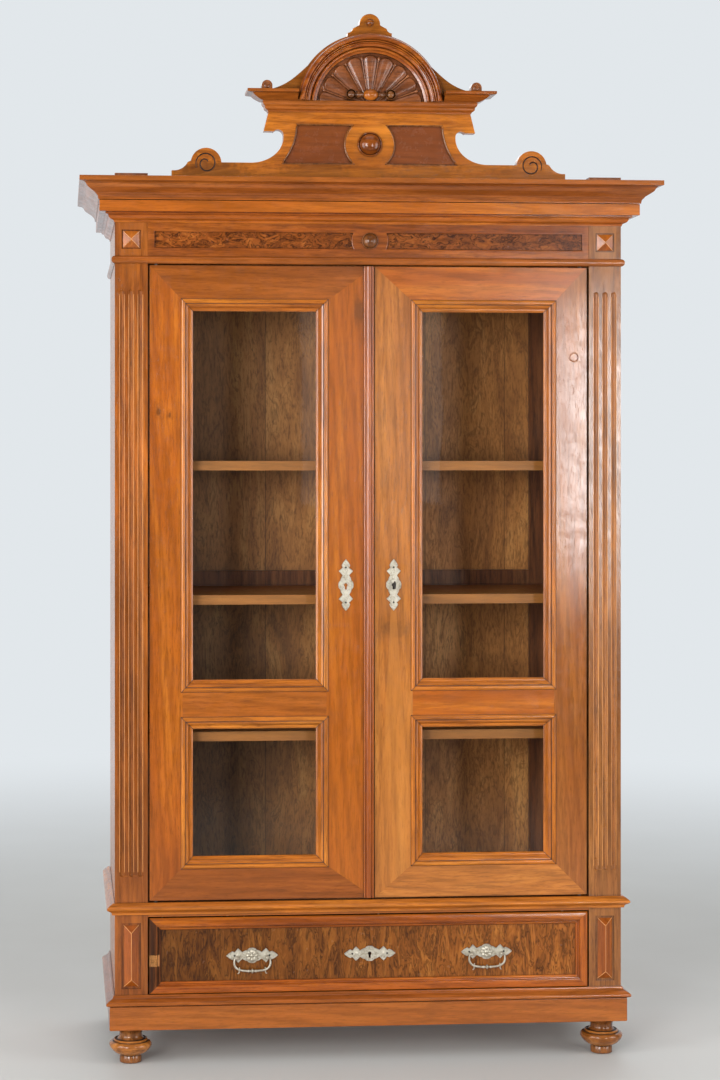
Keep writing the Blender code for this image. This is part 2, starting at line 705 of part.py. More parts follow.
def flank_outline():
    """From the crest's cornice a foot that sweeps up into the arch."""
    points = [(CREST_NECK_HALF, Z_ARCH_FOOT + LEDGE_CROWN_HEIGHT)]
    for degrees in (10, 12, 15, 19, 24, 31, 40, 50, 60, 66):
        radius = ARCH_BOARD + FLANK_FLARE * max(60 / degrees - 1, 0)
        turn = math.radians(degrees)
        points.append((radius * math.cos(turn), Z_ARCH + radius * math.sin(turn)))
    return points


def finial_outline(foot):
    """Right half of the finial: a step, a hollow, a small step and a round head."""
    head = Z_TOP + FINIAL_TOP - FINIAL_RADIUS
    hollow = head - foot - 2 * FINIAL_STEP
    points = [(FINIAL_BASE, foot), (FINIAL_BASE, foot + FINIAL_STEP)]
    points += arc((FINIAL_BASE, foot + FINIAL_STEP + hollow), hollow, 262, 190, 4)
    points += [(FINIAL_RADIUS + FINIAL_STEP / 2, head - FINIAL_STEP / 2)]
    return points + arc((0, head), FINIAL_RADIUS, -4, 90, 7)


def panel_window(sign):
    """Sunk field of the crest between its outer edge and the boss."""
    low, high = Z_TOP + PANEL_LOW, Z_TOP + PANEL_HIGH
    centre = (0, Z_TOP + CREST_BOSS_UP)
    swing = [math.degrees(math.asin((z - centre[1]) / PANEL_ROUND)) for z in (low, high)]
    outline = arc(centre, PANEL_ROUND, swing[0], swing[1], 8)
    outer = WAIST_HALF
    for i in range(7):
        share = i / 6
        x = outer - PANEL_MARGIN + PANEL_MARGIN * share ** 2
        outline.append((x, high + (low - high) * share))
    return prism([(sign * x, z) for x, z in outline], "Y", CREST_FACE - PANEL_SINK, CREST_FACE + CREST_THICK)


def ledge_profile():
    """Crest's own cornice: a reeded ledge below and a crown above it."""
    low = Z_LEDGE
    step = LEDGE_CROWN_OUT - LEDGE_OUT
    ledge = [(0.1, 0.0), (0.18, 0.14), (0.45, 0.22), (0.62, 0.34), (0.64, 0.52), (0.86, 0.62), (1.0, 0.78),
             (1.0, 0.98)]
    crown = [(0.10, 0.0), (0.30, 0.16), (0.52, 0.40), (0.66, 0.62), (0.94, 0.68), (1.0, 0.74), (1.0, 1.0)]
    profile = [(SEAT, low)]
    profile += [(SEAT + out * LEDGE_OUT, low + up * LEDGE_HEIGHT) for out, up in ledge]
    profile += [(LEDGE_OUT + out * step, Z_ARCH_FOOT + up * LEDGE_CROWN_HEIGHT) for out, up in crown]
    return profile + [(SEAT, Z_ARCH_FOOT + LEDGE_CROWN_HEIGHT)]


def half_ring(profile, centre, face, steps):
    """A moulding bent to an arch over a centre; profile holds (radius, out) pairs."""
    loops = []
    for i in range(steps + 1):
        turn = math.pi * i / steps
        loops.append([(centre[0] + radius * math.cos(turn), face - out, centre[1] + radius * math.sin(turn))
                      for radius, out in profile])
    return skinned(loops)


def trimmed(shape, level):
    """What lies above a level, closed flat there."""
    cut_all = shape.verts[:] + shape.edges[:] + shape.faces[:]
    made = bmesh.ops.bisect_plane(
        shape, geom=cut_all, plane_co=(0, 0, level), plane_no=(0, 0, 1), clear_inner=True)
    edges = [item for item in made["geom_cut"] if isinstance(item, bmesh.types.BMEdge)]
    bmesh.ops.holes_fill(shape, edges=edges)
    bmesh.ops.recalc_face_normals(shape, faces=shape.faces)
    return shape


def arch_profile():
    """Rings of the arch, stepping back from the rim to the shell."""
    wide = ARCH_OUTER - ARCH_INNER
    rows = ((1.0, 0.0), (1.0, 0.62), (0.94, 0.74), (0.86, 0.76), (0.84, 0.92), (0.72, 1.0), (0.60, 0.94),
            (0.57, 0.72), (0.44, 0.74), (0.36, 0.66), (0.32, 0.50), (0.20, 0.52), (0.10, 0.44), (0.0, 0.30),
            (0.0, 0.0))
    return [(ARCH_INNER + share * wide, SEAT + out * ARCH_OUT) for share, out in rows]


def shell_columns():
    """(angle, share of the groove's depth) across the fan: rib, valley, crown of the petal, valley."""
    petal = ((0.0, 0.0), (0.07, 0.15), (0.13, 1.0), (0.5, 0.3), (0.87, 1.0), (0.93, 0.15))
    columns = []
    for lobe in range(SHELL_LOBES):
        columns += [(math.pi * (lobe + across) / SHELL_LOBES, sink) for across, sink in petal]
    return columns + [(math.pi, 0.0)]


def shell_height(share, sink):
    """Rise of the shell at a share of its radius, less what the groove takes there."""
    fade = share ** 0.5 * min(1, 4 * (1 - share) + 0.3)
    return SHELL_RISE * (0.35 + 0.65 * share) - sink * SHELL_GROOVE * fade


def shell(radius, centre, back):
    """A fan of petals and ribs round a centre, closed behind by a flat."""
    shares = (0.12, 0.40, 0.72, 0.92, 1.0)
    loops = []
    for turn, sink in shell_columns():
        loop = [(centre[0], back, centre[1])]
        for share in shares:
            x, z = (share * radius * part for part in (math.cos(turn), math.sin(turn)))
            loop.append((centre[0] + x, back - shell_height(share, sink), centre[1] + z))
        loop.append((centre[0] + radius * math.cos(turn), back, centre[1] + radius * math.sin(turn)))
        loops.append(loop)
    bm = skinned(loops)
    bmesh.ops.remove_doubles(bm, verts=bm.verts, dist=1e-6)
    bmesh.ops.dissolve_degenerate(bm, edges=bm.edges, dist=1e-7)
    bmesh.ops.recalc_face_normals(bm, faces=bm.faces)
    return bm


def shell_bar(centre):
    """The turned bar across the shell's foot: an egg between two balls."""
    rows = ((0.0, 1.0), (0.55, 0.96), (0.85, 0.86), (0.55, 0.74), (0.38, 0.66), (0.52, 0.52), (0.42, 0.40),
            (0.75, 0.28), (0.95, 0.14), (1.0, 0.0))
    right = [(radius * BAR_RADIUS, along * BAR_HALF) for radius, along in rows]
    left = [(radius, -along) for radius, along in reversed(right[:-1])]
    return turned(right + left, centre, axis="X", sides=12)


def make_crest(walnut, burr):
    rear = CREST_FACE + CREST_THICK
    board = piece("crest_board", prism(mirrored(crest_outline()), "Y", CREST_FACE, rear), walnut)
    reach = WAIST_HALF + PANEL_LAP
    low, high = Z_TOP + PANEL_LOW - PANEL_LAP, Z_TOP + PANEL_HIGH + PANEL_LAP
    groove = [(reach, low), (reach - PANEL_MARGIN / 2, high)]
    groove += [(-x, z) for x, z in reversed(groove)]
    sunk = CREST_FACE + PANEL_SINK
    cut(board, prism(groove, "Y", sunk, rear + PANEL_SINK))
    cut(board, *[panel_window(sign) for sign in SIDES.values()])
    inset = [(x - math.copysign(2 * SEAT, x), z + (SEAT if z == low else -SEAT)) for x, z in groove]
    piece("crest_panel", prism(inset, "Y", sunk + SEAT, rear - SEAT), burr)
    button_z = Z_TOP + FINIAL_TOP - FINIAL_RADIUS + BUTTON_RADIUS / 2
    weld_on(board, boss(BUTTON_RADIUS, BUTTON_RISE, (0, CREST_FACE + SEAT, button_z)))
    boss_place = (0, CREST_FACE - SEAT, Z_TOP + CREST_BOSS_UP)
    piece("crest_boss", boss(CREST_BOSS_RADIUS, CREST_BOSS_RISE, boss_place), walnut, smooth=True)
    make_crest_cornice(walnut)
    arch = half_ring(arch_profile(), (0, Z_ARCH), CREST_FACE, 28)
    piece("crest_arch", trimmed(arch, Z_ARCH_FOOT + SEAT), walnut, smooth=True)
    fan = shell(ARCH_INNER - 2 * SEAT, (0, Z_ARCH), CREST_FACE - SEAT)
    fan = piece("crest_shell", trimmed(fan, Z_ARCH_FOOT + SEAT), walnut, smooth=True)
    weld_on(fan, shell_bar((0, CREST_FACE - BAR_RADIUS - 4 * SEAT, Z_ARCH_FOOT + BAR_RADIUS + 4 * SEAT)))


def make_crest_cornice(walnut):
    """Crest's own cornice, broken by the arch, with a knob on each end."""
    rear = CREST_FACE + CREST_THICK
    ledge = piece("crest_cornice", wrapped(ledge_profile(), CREST_NECK_HALF, CREST_FACE, rear), walnut)
    rim = ARCH_OUTER + SEAT
    shoulder = Z_ARCH_FOOT + LEDGE_CROWN_HEIGHT
    near = CREST_FACE - 2 * LEDGE_CROWN_OUT
    cut(ledge, block((-rim, near, Z_ARCH_FOOT), (rim, rear, shoulder + LEDGE_HEIGHT)))
    for sign in SIDES.values():
        place = (sign * KNOB_AT, CREST_FACE - LEDGE_OUT, shoulder + KNOB_UP)
        roll = turned([(KNOB_RADIUS, 0), (KNOB_RADIUS, -KNOB_LONG)], place, axis="Y", sides=16)
        weld_on(ledge, roll)


# Doors

def pivot_hole(sign, level):
    """The hole that holds a door pivot in the case."""
    reach = PIVOT_REACH + SEAT
    ends = [(PIVOT_RADIUS + SEAT, -reach), (PIVOT_RADIUS + SEAT, reach)]
    return turned(ends, (sign * PIVOT_X, PIVOT_Y, level), sides=12)


def bead_profile():
    """Glazing moulding: a lap on the frame, a bead, a hollow and a thin edge at the glass."""
    drop = BEAD_DEPTH + BEAD_OUT
    rows = ((0.0, 0.80), (0.10, 1.0), (0.30, 1.0), (0.36, 0.82), (0.44, 0.80), (0.56, 0.72), (0.68, 0.50),
            (0.74, 0.36), (0.86, 0.34), (1.0, 0.20), (1.0, 0.0))
    front = [(share * BEAD_WIDTH, up * drop - BEAD_DEPTH) for share, up in rows]
    return [(0.0, -BEAD_OUT), *front, (BEAD_LAP / 2, -BEAD_DEPTH), (BEAD_LAP / 2, -BEAD_OUT)]


def keyhole(centre, low, high):
    """Round top and straight slot below, cut through along Y."""
    x, z = centre
    slot = KEYHOLE_RADIUS * 0.55
    outline = arc((x, z), KEYHOLE_RADIUS, -57, 237, 10)
    outline += [(x - slot, z - KEY_BIT - SEAT * 2), (x + slot, z - KEY_BIT - SEAT * 2)]
    return prism(outline, "Y", low, high)


def plate_outline():
    """Pointed, scalloped plate for keyholes and handles: (along, across) from its middle."""
    along, across = PLATE_LENGTH / 2, PLATE_WIDTH / 2
    quarter = [(1.0, 0.0), (0.91, 0.26), (0.81, 0.46), (0.70, 0.32), (0.64, 0.50), (0.575, 0.85),
               (0.48, 0.60), (0.37, 0.43), (0.31, 0.60), (0.185, 0.82), (0.09, 0.96), (0.0, 1.0)]
    half = quarter + [(-a, b) for a, b in reversed(quarter[:-1])]
    whole = half + [(a, -b) for a, b in reversed(half[1:-1])]
    return [(a * along, b * across) for a, b in whole]


def plate(centre, rear, upright):
    """A fitting plate against a front, standing or lying."""
    x, z = centre
    outline = [(x + b, z + a) if upright else (x + a, z + b) for a, b in plate_outline()]
    return prism(outline, "Y", rear - SEAT - PLATE_THICK, rear - SEAT)


def make_door(side, finishes):
    walnut, glass, metal = finishes
    sign = SIDES[side]
    axis = axis_empty(f"door_{side}_axis", (sign * PIVOT_X, PIVOT_Y, DOOR_LOW))
    meet = RIGHT_MEET if sign > 0 else LEFT_MEET
    ends = sorted((sign * DOOR_OUT, meet))
    slab = block((ends[0], DOOR_FACE, DOOR_LOW), (ends[1], DOOR_REAR, DOOR_HIGH))
    frame = piece(f"door_{side}_frame", slab, walnut, axis)
    edges = sorted((sign * LIGHT_IN, sign * LIGHT_OUT))
    tools, beads = [], []
    for name, (low, high) in LIGHTS.items():
        tools.append(block((edges[0] + BEAD_LAP, DOOR_FACE - DOOR_THICK, low + BEAD_LAP),
                           (edges[1] - BEAD_LAP, DOOR_REAR + DOOR_THICK, high - BEAD_LAP)))
        beads.append(framed(bead_profile(), (edges[0], low), (edges[1], high), DOOR_FACE))
        inset = BEAD_LAP + SEAT
        rear = DOOR_FACE + BEAD_DEPTH + SEAT
        near_corner = (edges[0] + inset, rear, low + inset)
        far_corner = (edges[1] - inset, rear + GLASS_THICK, high - inset)
        pane = block(near_corner, far_corner)
        piece(f"door_{side}_{name}_glass", pane, glass, axis)
    reach = PIVOT_REACH + SEAT
    bore = PIVOT_RADIUS + RUNNING
    for level in (DOOR_LOW, DOOR_HIGH):
        tools.append(turned([(bore, -reach), (bore, reach)], (sign * PIVOT_X, PIVOT_Y, level), sides=12))
    lock = (sign * LOCK_AXIS, LOCK_Z)
    if sign > 0:
        tools.append(keyhole(lock, DOOR_FACE - DOOR_THICK, DOOR_REAR + DOOR_THICK))
    cut(frame, *tools)
    weld_on(frame, *beads)
    escutcheon = piece(f"door_{side}_escutcheon", plate(lock, DOOR_FACE, True), metal, axis)
    cut(escutcheon, keyhole(lock, DOOR_FACE - DOOR_THICK, DOOR_REAR))
    return axis


def make_pivots(metal):
    """Steel pins fixed in the case, one below and one above each door."""
    for side, sign in SIDES.items():
        for end, level, up in (("lower", Z_DOORS, 1), ("upper", Z_NECK, -1)):
            reach = DOOR_TOP_GAP + PIVOT_REACH
            ends = [(PIVOT_RADIUS, -up * PIVOT_REACH), (PIVOT_RADIUS, up * reach)]
            pin = turned(ends, (sign * PIVOT_X, PIVOT_Y, level), sides=12)
            piece(f"door_{side}_{end}_pivot", pin, metal)


def strip_profile():
    """Cover strip on the left door: a wide round between two quirks."""
    rows = ((0.0, 0.0), (0.0, 0.55), (0.08, 0.62), (0.14, 0.50), (0.20, 0.50), (0.28, 0.80), (0.42, 0.97),
            (0.56, 0.97), (0.70, 0.80), (0.76, 0.52), (0.82, 0.52), (0.90, 0.74), (1.0, 0.70), (1.0, 0.0))
    left = LEFT_MEET - STRIP_WIDTH
    return [(left + share * STRIP_WIDTH, DOOR_FACE - SEAT - up * STRIP_OUT) for share, up in rows]


def make_lock(axis, metal, iron):
    """Rim lock on the right door, with its bolt and the key that turns in it."""
    rear = DOOR_REAR + SEAT
    left = RIGHT_MEET + LOCK_SETBACK
    half = LOCK_TALL / 2
    box = block((left, rear, LOCK_Z - half), (left + LOCK_WIDTH, rear + LOCK_DEEP, LOCK_Z + half))
    case = piece("door_lock", box, iron, axis)
    radius = KEY_BIT + KEY_PLAY
    ends = [(radius, -KEY_PLAY), (radius, KEY_BIT_LONG * 2)]
    pocket = turned(ends, (LOCK_AXIS, rear, LOCK_Z), axis="Y", sides=16)
    middle = rear + LOCK_DEEP / 2
    bolt_z = LOCK_Z + BOLT_ABOVE
    low = (left, middle - BOLT_THICK / 2, bolt_z - BOLT_TALL / 2)
    high = (left + BOLT_LENGTH, middle + BOLT_THICK / 2, bolt_z + BOLT_TALL / 2)
    slot = block((left - BOLT_TRAVEL, low[1] - SEAT, low[2] - SEAT), [edge + SEAT for edge in high])
    cut(case, pocket, slot)
    slide = axis_empty("lock_bolt_axis", (left, middle, bolt_z), axis)
    piece("door_lock_bolt", block(low, high), metal, slide)
    make_key(axis, iron)


def make_key(axis, iron):
    turn = axis_empty("key_axis", (LOCK_AXIS, DOOR_FACE, LOCK_Z), axis)
    bow_y = DOOR_FACE - PLATE_THICK - KEY_REACH
    tip = DOOR_REAR + SEAT + KEY_BIT_LONG * 1.5
    shaft = [(KEY_RADIUS, bow_y + KEY_BOW * 0.8), (KEY_RADIUS, tip)]
    key = piece("door_key", turned(shaft, (LOCK_AXIS, 0, LOCK_Z), axis="Y", sides=12), iron, turn)
    half = KEY_RADIUS * 0.45
    near = tip - KEY_BIT_LONG * 1.1
    bit = block((LOCK_AXIS - half, near, LOCK_Z - KEY_BIT), (LOCK_AXIS + half, near + KEY_BIT_LONG, LOCK_Z))
    half = KEY_RADIUS * 0.7
    bow = prism(oval((bow_y, LOCK_Z), KEY_BOW, KEY_BOW, 20), "X", LOCK_AXIS - half, LOCK_AXIS + half)
    eye = oval((bow_y - KEY_BOW * 0.1, LOCK_Z), KEY_BOW * 0.55, KEY_BOW * 0.62, 14)
    weld_on(key, bit, bow)
    cut(key, prism(eye, "X", LOCK_AXIS - KEY_BOW, LOCK_AXIS + KEY_BOW))


def oval(centre, wide, tall, count):
    points = []
    for i in range(count):
        turn = 2 * math.pi * i / count
        points.append((centre[0] + wide * math.cos(turn), centre[1] + tall * math.sin(turn)))
    return points


# Drawer

def drawer_bead_profile():
    """Frame of the drawer front: a broad outer slope, a quirk and a bead beside the burr field."""
    rows = ((0.0, 0.0), (0.0, 0.55), (0.08, 0.80), (0.55, 1.0), (0.68, 0.95), (0.72, 0.45), (0.80, 0.40),
            (0.86, 0.52), (0.95, 0.42), (1.0, 0.20), (1.0, 0.0))
    return [(share * DRAWER_BEAD, SEAT + up * (DRAWER_BEAD_OUT - SEAT)) for share, up in rows]


def make_drawer(finishes):
    walnut, burr, oak, metal, iron = finishes
    slide = axis_empty("drawer_axis", (0, FIELD_Y, DRAWER_LOW))
    inner = FIELD_Y + DRAWER_FRONT
    slab = block((-DRAWER_HALF, FIELD_Y, DRAWER_LOW), (DRAWER_HALF, inner, DRAWER_HIGH))
    front = piece("drawer_front", slab, burr, slide)
    corners = (-DRAWER_HALF, DRAWER_LOW), (DRAWER_HALF, DRAWER_HIGH)
    piece("drawer_moulding", framed(drawer_bead_profile(), *corners, FIELD_Y), walnut, slide)
    side_out = DRAWER_HALF - DRAWER_GAP
    high = DRAWER_HIGH - DRAWER_SIDE_DROP
    near, end = inner + SEAT, FIELD_Y + DRAWER_LENGTH
    groove_low = DRAWER_LOW + DRAWER_BOTTOM_UP
    groove_high = groove_low + DRAWER_BOTTOM
    groove = DRAWER_SIDE / 2
    for side, sign in SIDES.items():
        ends = sorted((sign * side_out, sign * (side_out - DRAWER_SIDE)))
        plank = block((ends[0], near, DRAWER_LOW), (ends[1], end, high))
        board = piece(f"drawer_side_{side}", plank, oak, slide)
        slot = sorted((sign * (side_out - groove), sign * (side_out - 2 * DRAWER_SIDE)))
        cut(board, block((slot[0], FIELD_Y, groove_low), (slot[1], end + DRAWER_SIDE, groove_high)))
    between = side_out - DRAWER_SIDE - SEAT
    rear = block((-between, end - DRAWER_SIDE, groove_high + SEAT), (between, end, high))
    piece("drawer_back", rear, oak, slide)
    reach = side_out - groove - SEAT
    panel = block((-reach, near, groove_low + SEAT), (reach, end, groove_high - SEAT))
    piece("drawer_bottom", panel, oak, slide)
    make_drawer_fittings(front, slide, inner, metal, iron)
    for side, sign in SIDES.items():
        make_handle(side, sign * HANDLE_SPREAD, slide, metal)


def make_drawer_fittings(front, slide, inner, metal, iron):
    centre = (0, HANDLE_Z)
    escutcheon = piece("drawer_escutcheon", plate(centre, FIELD_Y, False), metal, slide)
    for target in (escutcheon, front):
        cut(target, keyhole(centre, FIELD_Y - DRAWER_FRONT, inner + DRAWER_FRONT))
    rear = inner + SEAT
    half = LOCK_WIDTH / 2
    box = block((-half, rear, HANDLE_Z - half), (half, rear + LOCK_DEEP, HANDLE_Z + half))
    lock = piece("drawer_lock", box, iron, slide)
    cut(lock, keyhole(centre, rear - LOCK_DEEP, rear + LOCK_DEEP / 2))


def bail_route():
    """Right half of a drop handle, from its pin in the ear to the middle of its grip: (out, down)."""
    ear = EAR_SPREAD + SEAT
    bow = ((0.97, 0.08), (1.0, 0.28), (0.97, 0.52), (0.86, 0.76), (0.64, 0.94), (0.38, 1.0), (0.10, 1.0),
           (0.05, 1.0), (0.0, 1.0))
    return [(ear, 0.0), (ear + EAR_RADIUS, 0.0)] + [(out * BAIL_HALF, down * BAIL_DROP) for out, down in bow]


def make_handle(side, x, slide, metal):
    pivot_y = FIELD_Y - PLATE_THICK - EAR_LONG + EAR_RADIUS
    ear_z = HANDLE_Z - EAR_BELOW
    base = piece(f"handle_{side}_plate", plate((x, HANDLE_Z), FIELD_Y, False), metal, slide)
    bore = BAIL_RADIUS + RUNNING
    for sign in SIDES.values():
        ear = [(EAR_RADIUS, -PLATE_THICK / 2), (EAR_RADIUS, -PLATE_THICK - EAR_LONG)]
        weld_on(base, turned(ear, (x + sign * EAR_SPREAD, FIELD_Y, ear_z), axis="Y", sides=14))
        hole = sorted((sign * (EAR_SPREAD - EAR_RADIUS * 0.4), sign * (EAR_SPREAD + 2 * EAR_RADIUS)))
        cut(base, turned([(bore, hole[0]), (bore, hole[1])], (x, pivot_y, ear_z), axis="X", sides=12))
    axis = axis_empty(f"handle_{side}_axis", (x, pivot_y, ear_z), slide)
    half = bail_route()
    route = [(-out, down) for out, down in half] + [(out, down) for out, down in reversed(half[:-1])]
    curve = bpy.data.curves.new(f"handle_{side}_bail", "CURVE")
    curve.dimensions = "3D"
    curve.bevel_depth = BAIL_RADIUS
    curve.bevel_resolution = 2
    curve.use_fill_caps = True
    spline = curve.splines.new("POLY")
    spline.points.add(len(route) - 1)
    for point, (out, down) in zip(spline.points, route):
        point.co = (out, 0.0, -down, 1.0)
        point.radius = 1.0 + (0.75 if abs(out) < BAIL_HALF * 0.07 else 0.0)
    curve.materials.append(metal)
    bail = bpy.data.objects.new(f"handle_{side}_bail", curve)
    bail.parent = axis
    bpy.context.collection.objects.link(bail)


def main():
    for old in list(bpy.data.objects):
        bpy.data.objects.remove(old)
    walnut = material("walnut", (0.42, 0.17, 0.05), 0.38)
    burr = material("burr_walnut", (0.22, 0.08, 0.025), 0.30)
    oak = material("oak", (0.36, 0.20, 0.09), 0.55)
    glass = material("glass", (0.95, 0.97, 0.96), 0.02, transmission=1.0)
    metal = material("nickel_silver", (0.62, 0.58, 0.48), 0.35, metallic=1.0)
    iron = material("iron", (0.10, 0.09, 0.08), 0.50, metallic=1.0)
    make_base(walnut, oak)
    make_case(walnut, oak)
    make_frieze(walnut, burr)
    make_cornice(walnut)
    make_crest(walnut, burr)
    left = make_door("left", (walnut, glass, metal))
    right = make_door("right", (walnut, glass, metal))
    piece("door_strip", prism(strip_profile(), "Z", DOOR_LOW, DOOR_HIGH), walnut, left)
    make_lock(right, metal, iron)
    make_pivots(iron)
    make_drawer((walnut, burr, oak, metal, iron))


main()
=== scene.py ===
import math
import random

import bmesh
import bpy
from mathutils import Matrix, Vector


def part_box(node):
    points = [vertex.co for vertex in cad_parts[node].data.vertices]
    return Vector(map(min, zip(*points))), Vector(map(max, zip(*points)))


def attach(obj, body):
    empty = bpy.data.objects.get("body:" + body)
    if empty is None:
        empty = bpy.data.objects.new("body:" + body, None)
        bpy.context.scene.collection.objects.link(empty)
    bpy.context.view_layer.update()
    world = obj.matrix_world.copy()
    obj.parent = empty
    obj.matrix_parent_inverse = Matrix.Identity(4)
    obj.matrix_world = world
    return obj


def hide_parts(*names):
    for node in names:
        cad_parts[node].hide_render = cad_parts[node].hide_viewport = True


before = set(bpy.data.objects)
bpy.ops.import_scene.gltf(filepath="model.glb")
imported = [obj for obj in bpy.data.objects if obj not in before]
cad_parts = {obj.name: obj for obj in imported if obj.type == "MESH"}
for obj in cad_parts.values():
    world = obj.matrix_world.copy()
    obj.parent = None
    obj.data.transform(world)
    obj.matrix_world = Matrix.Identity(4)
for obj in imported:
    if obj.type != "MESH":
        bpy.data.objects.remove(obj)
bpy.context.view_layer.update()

# Finer work on the cabinet's frame: rounded mouldings, mitred boards, carving, fittings, finishes,
# floor and light. Metres, +Z up, +Y to the back. Every shape is drawn in place, so its coordinates are
# those of the cabinet at rest.
DRAWS = random.Random(7)
SIDES = {"left": -1, "right": 1}
AXES = {"X": (1, 2, 0), "Y": (0, 2, 1), "Z": (0, 1, 2)}  # two axes across each one, then itself
FINE = 64  # sides of turned work
PLINTH_EDGE = 0.0016  # rounding of edges
POST_EDGE = 0.0006
FRIEZE_EDGE = 0.0008
CREST_EDGE = 0.0009
MOULDING_EDGE = 0.0004
JOINERY_EDGE = 0.0005
METAL_EDGE = 0.0002
SEAT = 0.0003  # gap between pieces that touch
NOTHING = 1e-9  # lengths below this count as none

# Places taken from the frame
BASE_FLOOR_THICK = 0.018
GLASS_SET = 0.0113  # from the doors' face back to the glass
CREST_THICK = 0.024
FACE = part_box("frieze_board")[0].y
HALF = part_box("post_right")[1].x
POST_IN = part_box("post_right")[0].x
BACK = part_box("side_right")[1].y
Z_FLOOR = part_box("base_floor")[0].z + BASE_FLOOR_THICK
Z_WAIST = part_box("waist_board")[0].z
Z_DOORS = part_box("waist_board")[1].z
Z_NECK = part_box("frieze_board")[0].z
Z_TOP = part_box("frieze_board")[1].z
Z_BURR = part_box("frieze_boss")[0].z / 2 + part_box("frieze_boss")[1].z / 2
DOOR_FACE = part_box("door_left_upper_glass")[0].y - GLASS_SET
CREST_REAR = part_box("crest_board")[1].y
CREST_FACE = CREST_REAR - CREST_THICK
Z_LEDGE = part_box("crest_cornice")[0].z
Z_ARCH_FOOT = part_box("crest_arch")[0].z - SEAT
FIELD_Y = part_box("drawer_front")[0].y

# Plinth and cornice
PLINTH_THICK = 0.022
CORNER_BLOCK = 0.090
CORNICE_FASCIA = 0.0335
CORNICE_BED = 0.020

# Posts
FLUTE_WIDTH = 0.0105
FLUTE_DEPTH = 0.004
FLUTE_PITCH = 0.0195
FLUTE_END = 0.0555  # from the doors' opening to the flutes' ends
FIELD_SINK = 0.0025
STUD_FIELD = 0.041
STUD_SIZE = 0.035
STUD_RISE = 0.009
HIP_RISE = 0.011
HIP_WIDE = 0.031
HIP_MARGIN = 0.013
HIP_FOOT = 0.0006  # upright edge at the foot of a hipped block
RIDGE_LEAST = 0.0005  # half the ridge of a square block
WORN_HIGHLIGHT_HALF = 0.0006  # half the width of a pale line of wear and painted highlight on an edge

# Frieze and bosses
BURR_HEIGHT = 0.034
BURR_SINK = 0.004
BURR_LAP = 0.005
BURR_END = 0.015
BOSS_DISC = 0.040
BURR_CHAMFER = 0.0012
FRIEZE_THICK = 0.022

# Crest
CREST_FOOT = 0.021
SCROLL_RADIUS = 0.033
SCROLL_AT = 0.354
SCROLL_UP = 0.037
FOOT_STEP = 0.005
HOLLOW_HALF = 0.258
HOOK_RADIUS = 0.012
RAMP_HEIGHT = 0.039
WAIST_HALF = 0.187
EAR_HALF = 0.230
EAR_LOW = 0.107
NECK_HALF = 0.2195
LEDGE_HEIGHT = 0.0235
LEDGE_OUT = 0.013
LEDGE_CROWN = 0.0195
LEDGE_CROWN_OUT = 0.049
ARCH_OUTER = 0.158
ARCH_INNER = 0.118
ARCH_BOARD = 0.162
ARCH_SINK = 0.013
ARCH_OUT = 0.030
ARCH_STEPS = 120
FLANK_FLARE = 0.024
FLANK_TURN = 34  # degrees above the arch's centre where the flank starts to sweep out
FINIAL_RADIUS = 0.0226
FINIAL_BASE = 0.048
FINIAL_STEP = 0.0075
FINIAL_TOP = 0.363
BUTTON_UP = 0.0035  # above the centre of the finial's head
BUTTON_RADIUS = 0.0086
BUTTON_RISE = 0.007
PANEL_LOW = 0.0395
PANEL_HIGH = 0.121
PANEL_SINK = 0.005
PANEL_LAP = 0.005
PANEL_CHAMFER = 0.0018
PANEL_BEAD = 0.0026
PANEL_MARGIN = 0.030
PANEL_ROUND = 0.056
BOSS_UP = 0.081
SPIRAL_OUT = 0.0225
SPIRAL_TURNS = 1.45
SPIRAL_START = -25  # degrees, at the outer end of the right-hand volute
SPIRAL_GROOVE = 0.0014
SHELL_LOBES = 9
SHELL_RISE = 0.012
SHELL_GROOVE = 0.0065
PETAL_END = 0.945  # share of the shell's radius where the middle of a petal ends
PETAL_ROUND = 0.075  # how much sooner its sides end
PETAL_FALL = 0.028  # share over which it falls to the rim
RIB_RADIUS = 0.0021
RIB_TIP = 0.0002
BAR_RADIUS = 0.0124
BAR_HALF = 0.050
KNOB_RADIUS = 0.0114
KNOB_AT = 0.226
KNOB_UP = 0.008
KNOB_LONG = 0.026

# Doors
DOOR_THICK = 0.026
BEAD_WIDTH = 0.026
BEAD_OUT = 0.0035
BEAD_DEPTH = 0.011
BEAD_LAP = 0.004
LINE = 0.0006  # half the width of a dark line of old polish and painted shade
OUTER_STILE = 0.0675
INNER_STILE = 0.079
TOP_RAIL = 0.0715
BOTTOM_RAIL = 0.067
LOCK_RAIL = 0.0535
LOWER_LIGHT = 0.3255
PLUG_AT = (0.4474, 1.5186)  # x and height of the plug in the right door's stile
PLUG = ((0.0104, 0.004), (0.0104, -0.0001), (0.0098, -0.0006), (0.0088, -0.0005), (0.0080, -0.0001),
        (0.0076, -0.0001), (0.0, -0.0001))  # its radius and depth
KEY_BOW = 0.009
KEY_SHANK = 0.0022
KEY_TIP = 0.0006
BIT_HALF = 0.001
BIT_ENDS = (0.0055, 0.0005)  # from the key's tip

# Drawer
DRAWER_BEAD = 0.026  # width of the frame moulding
PATCH = (0.2109, 0.2353)  # heights of the piece let into the drawer's worn edge

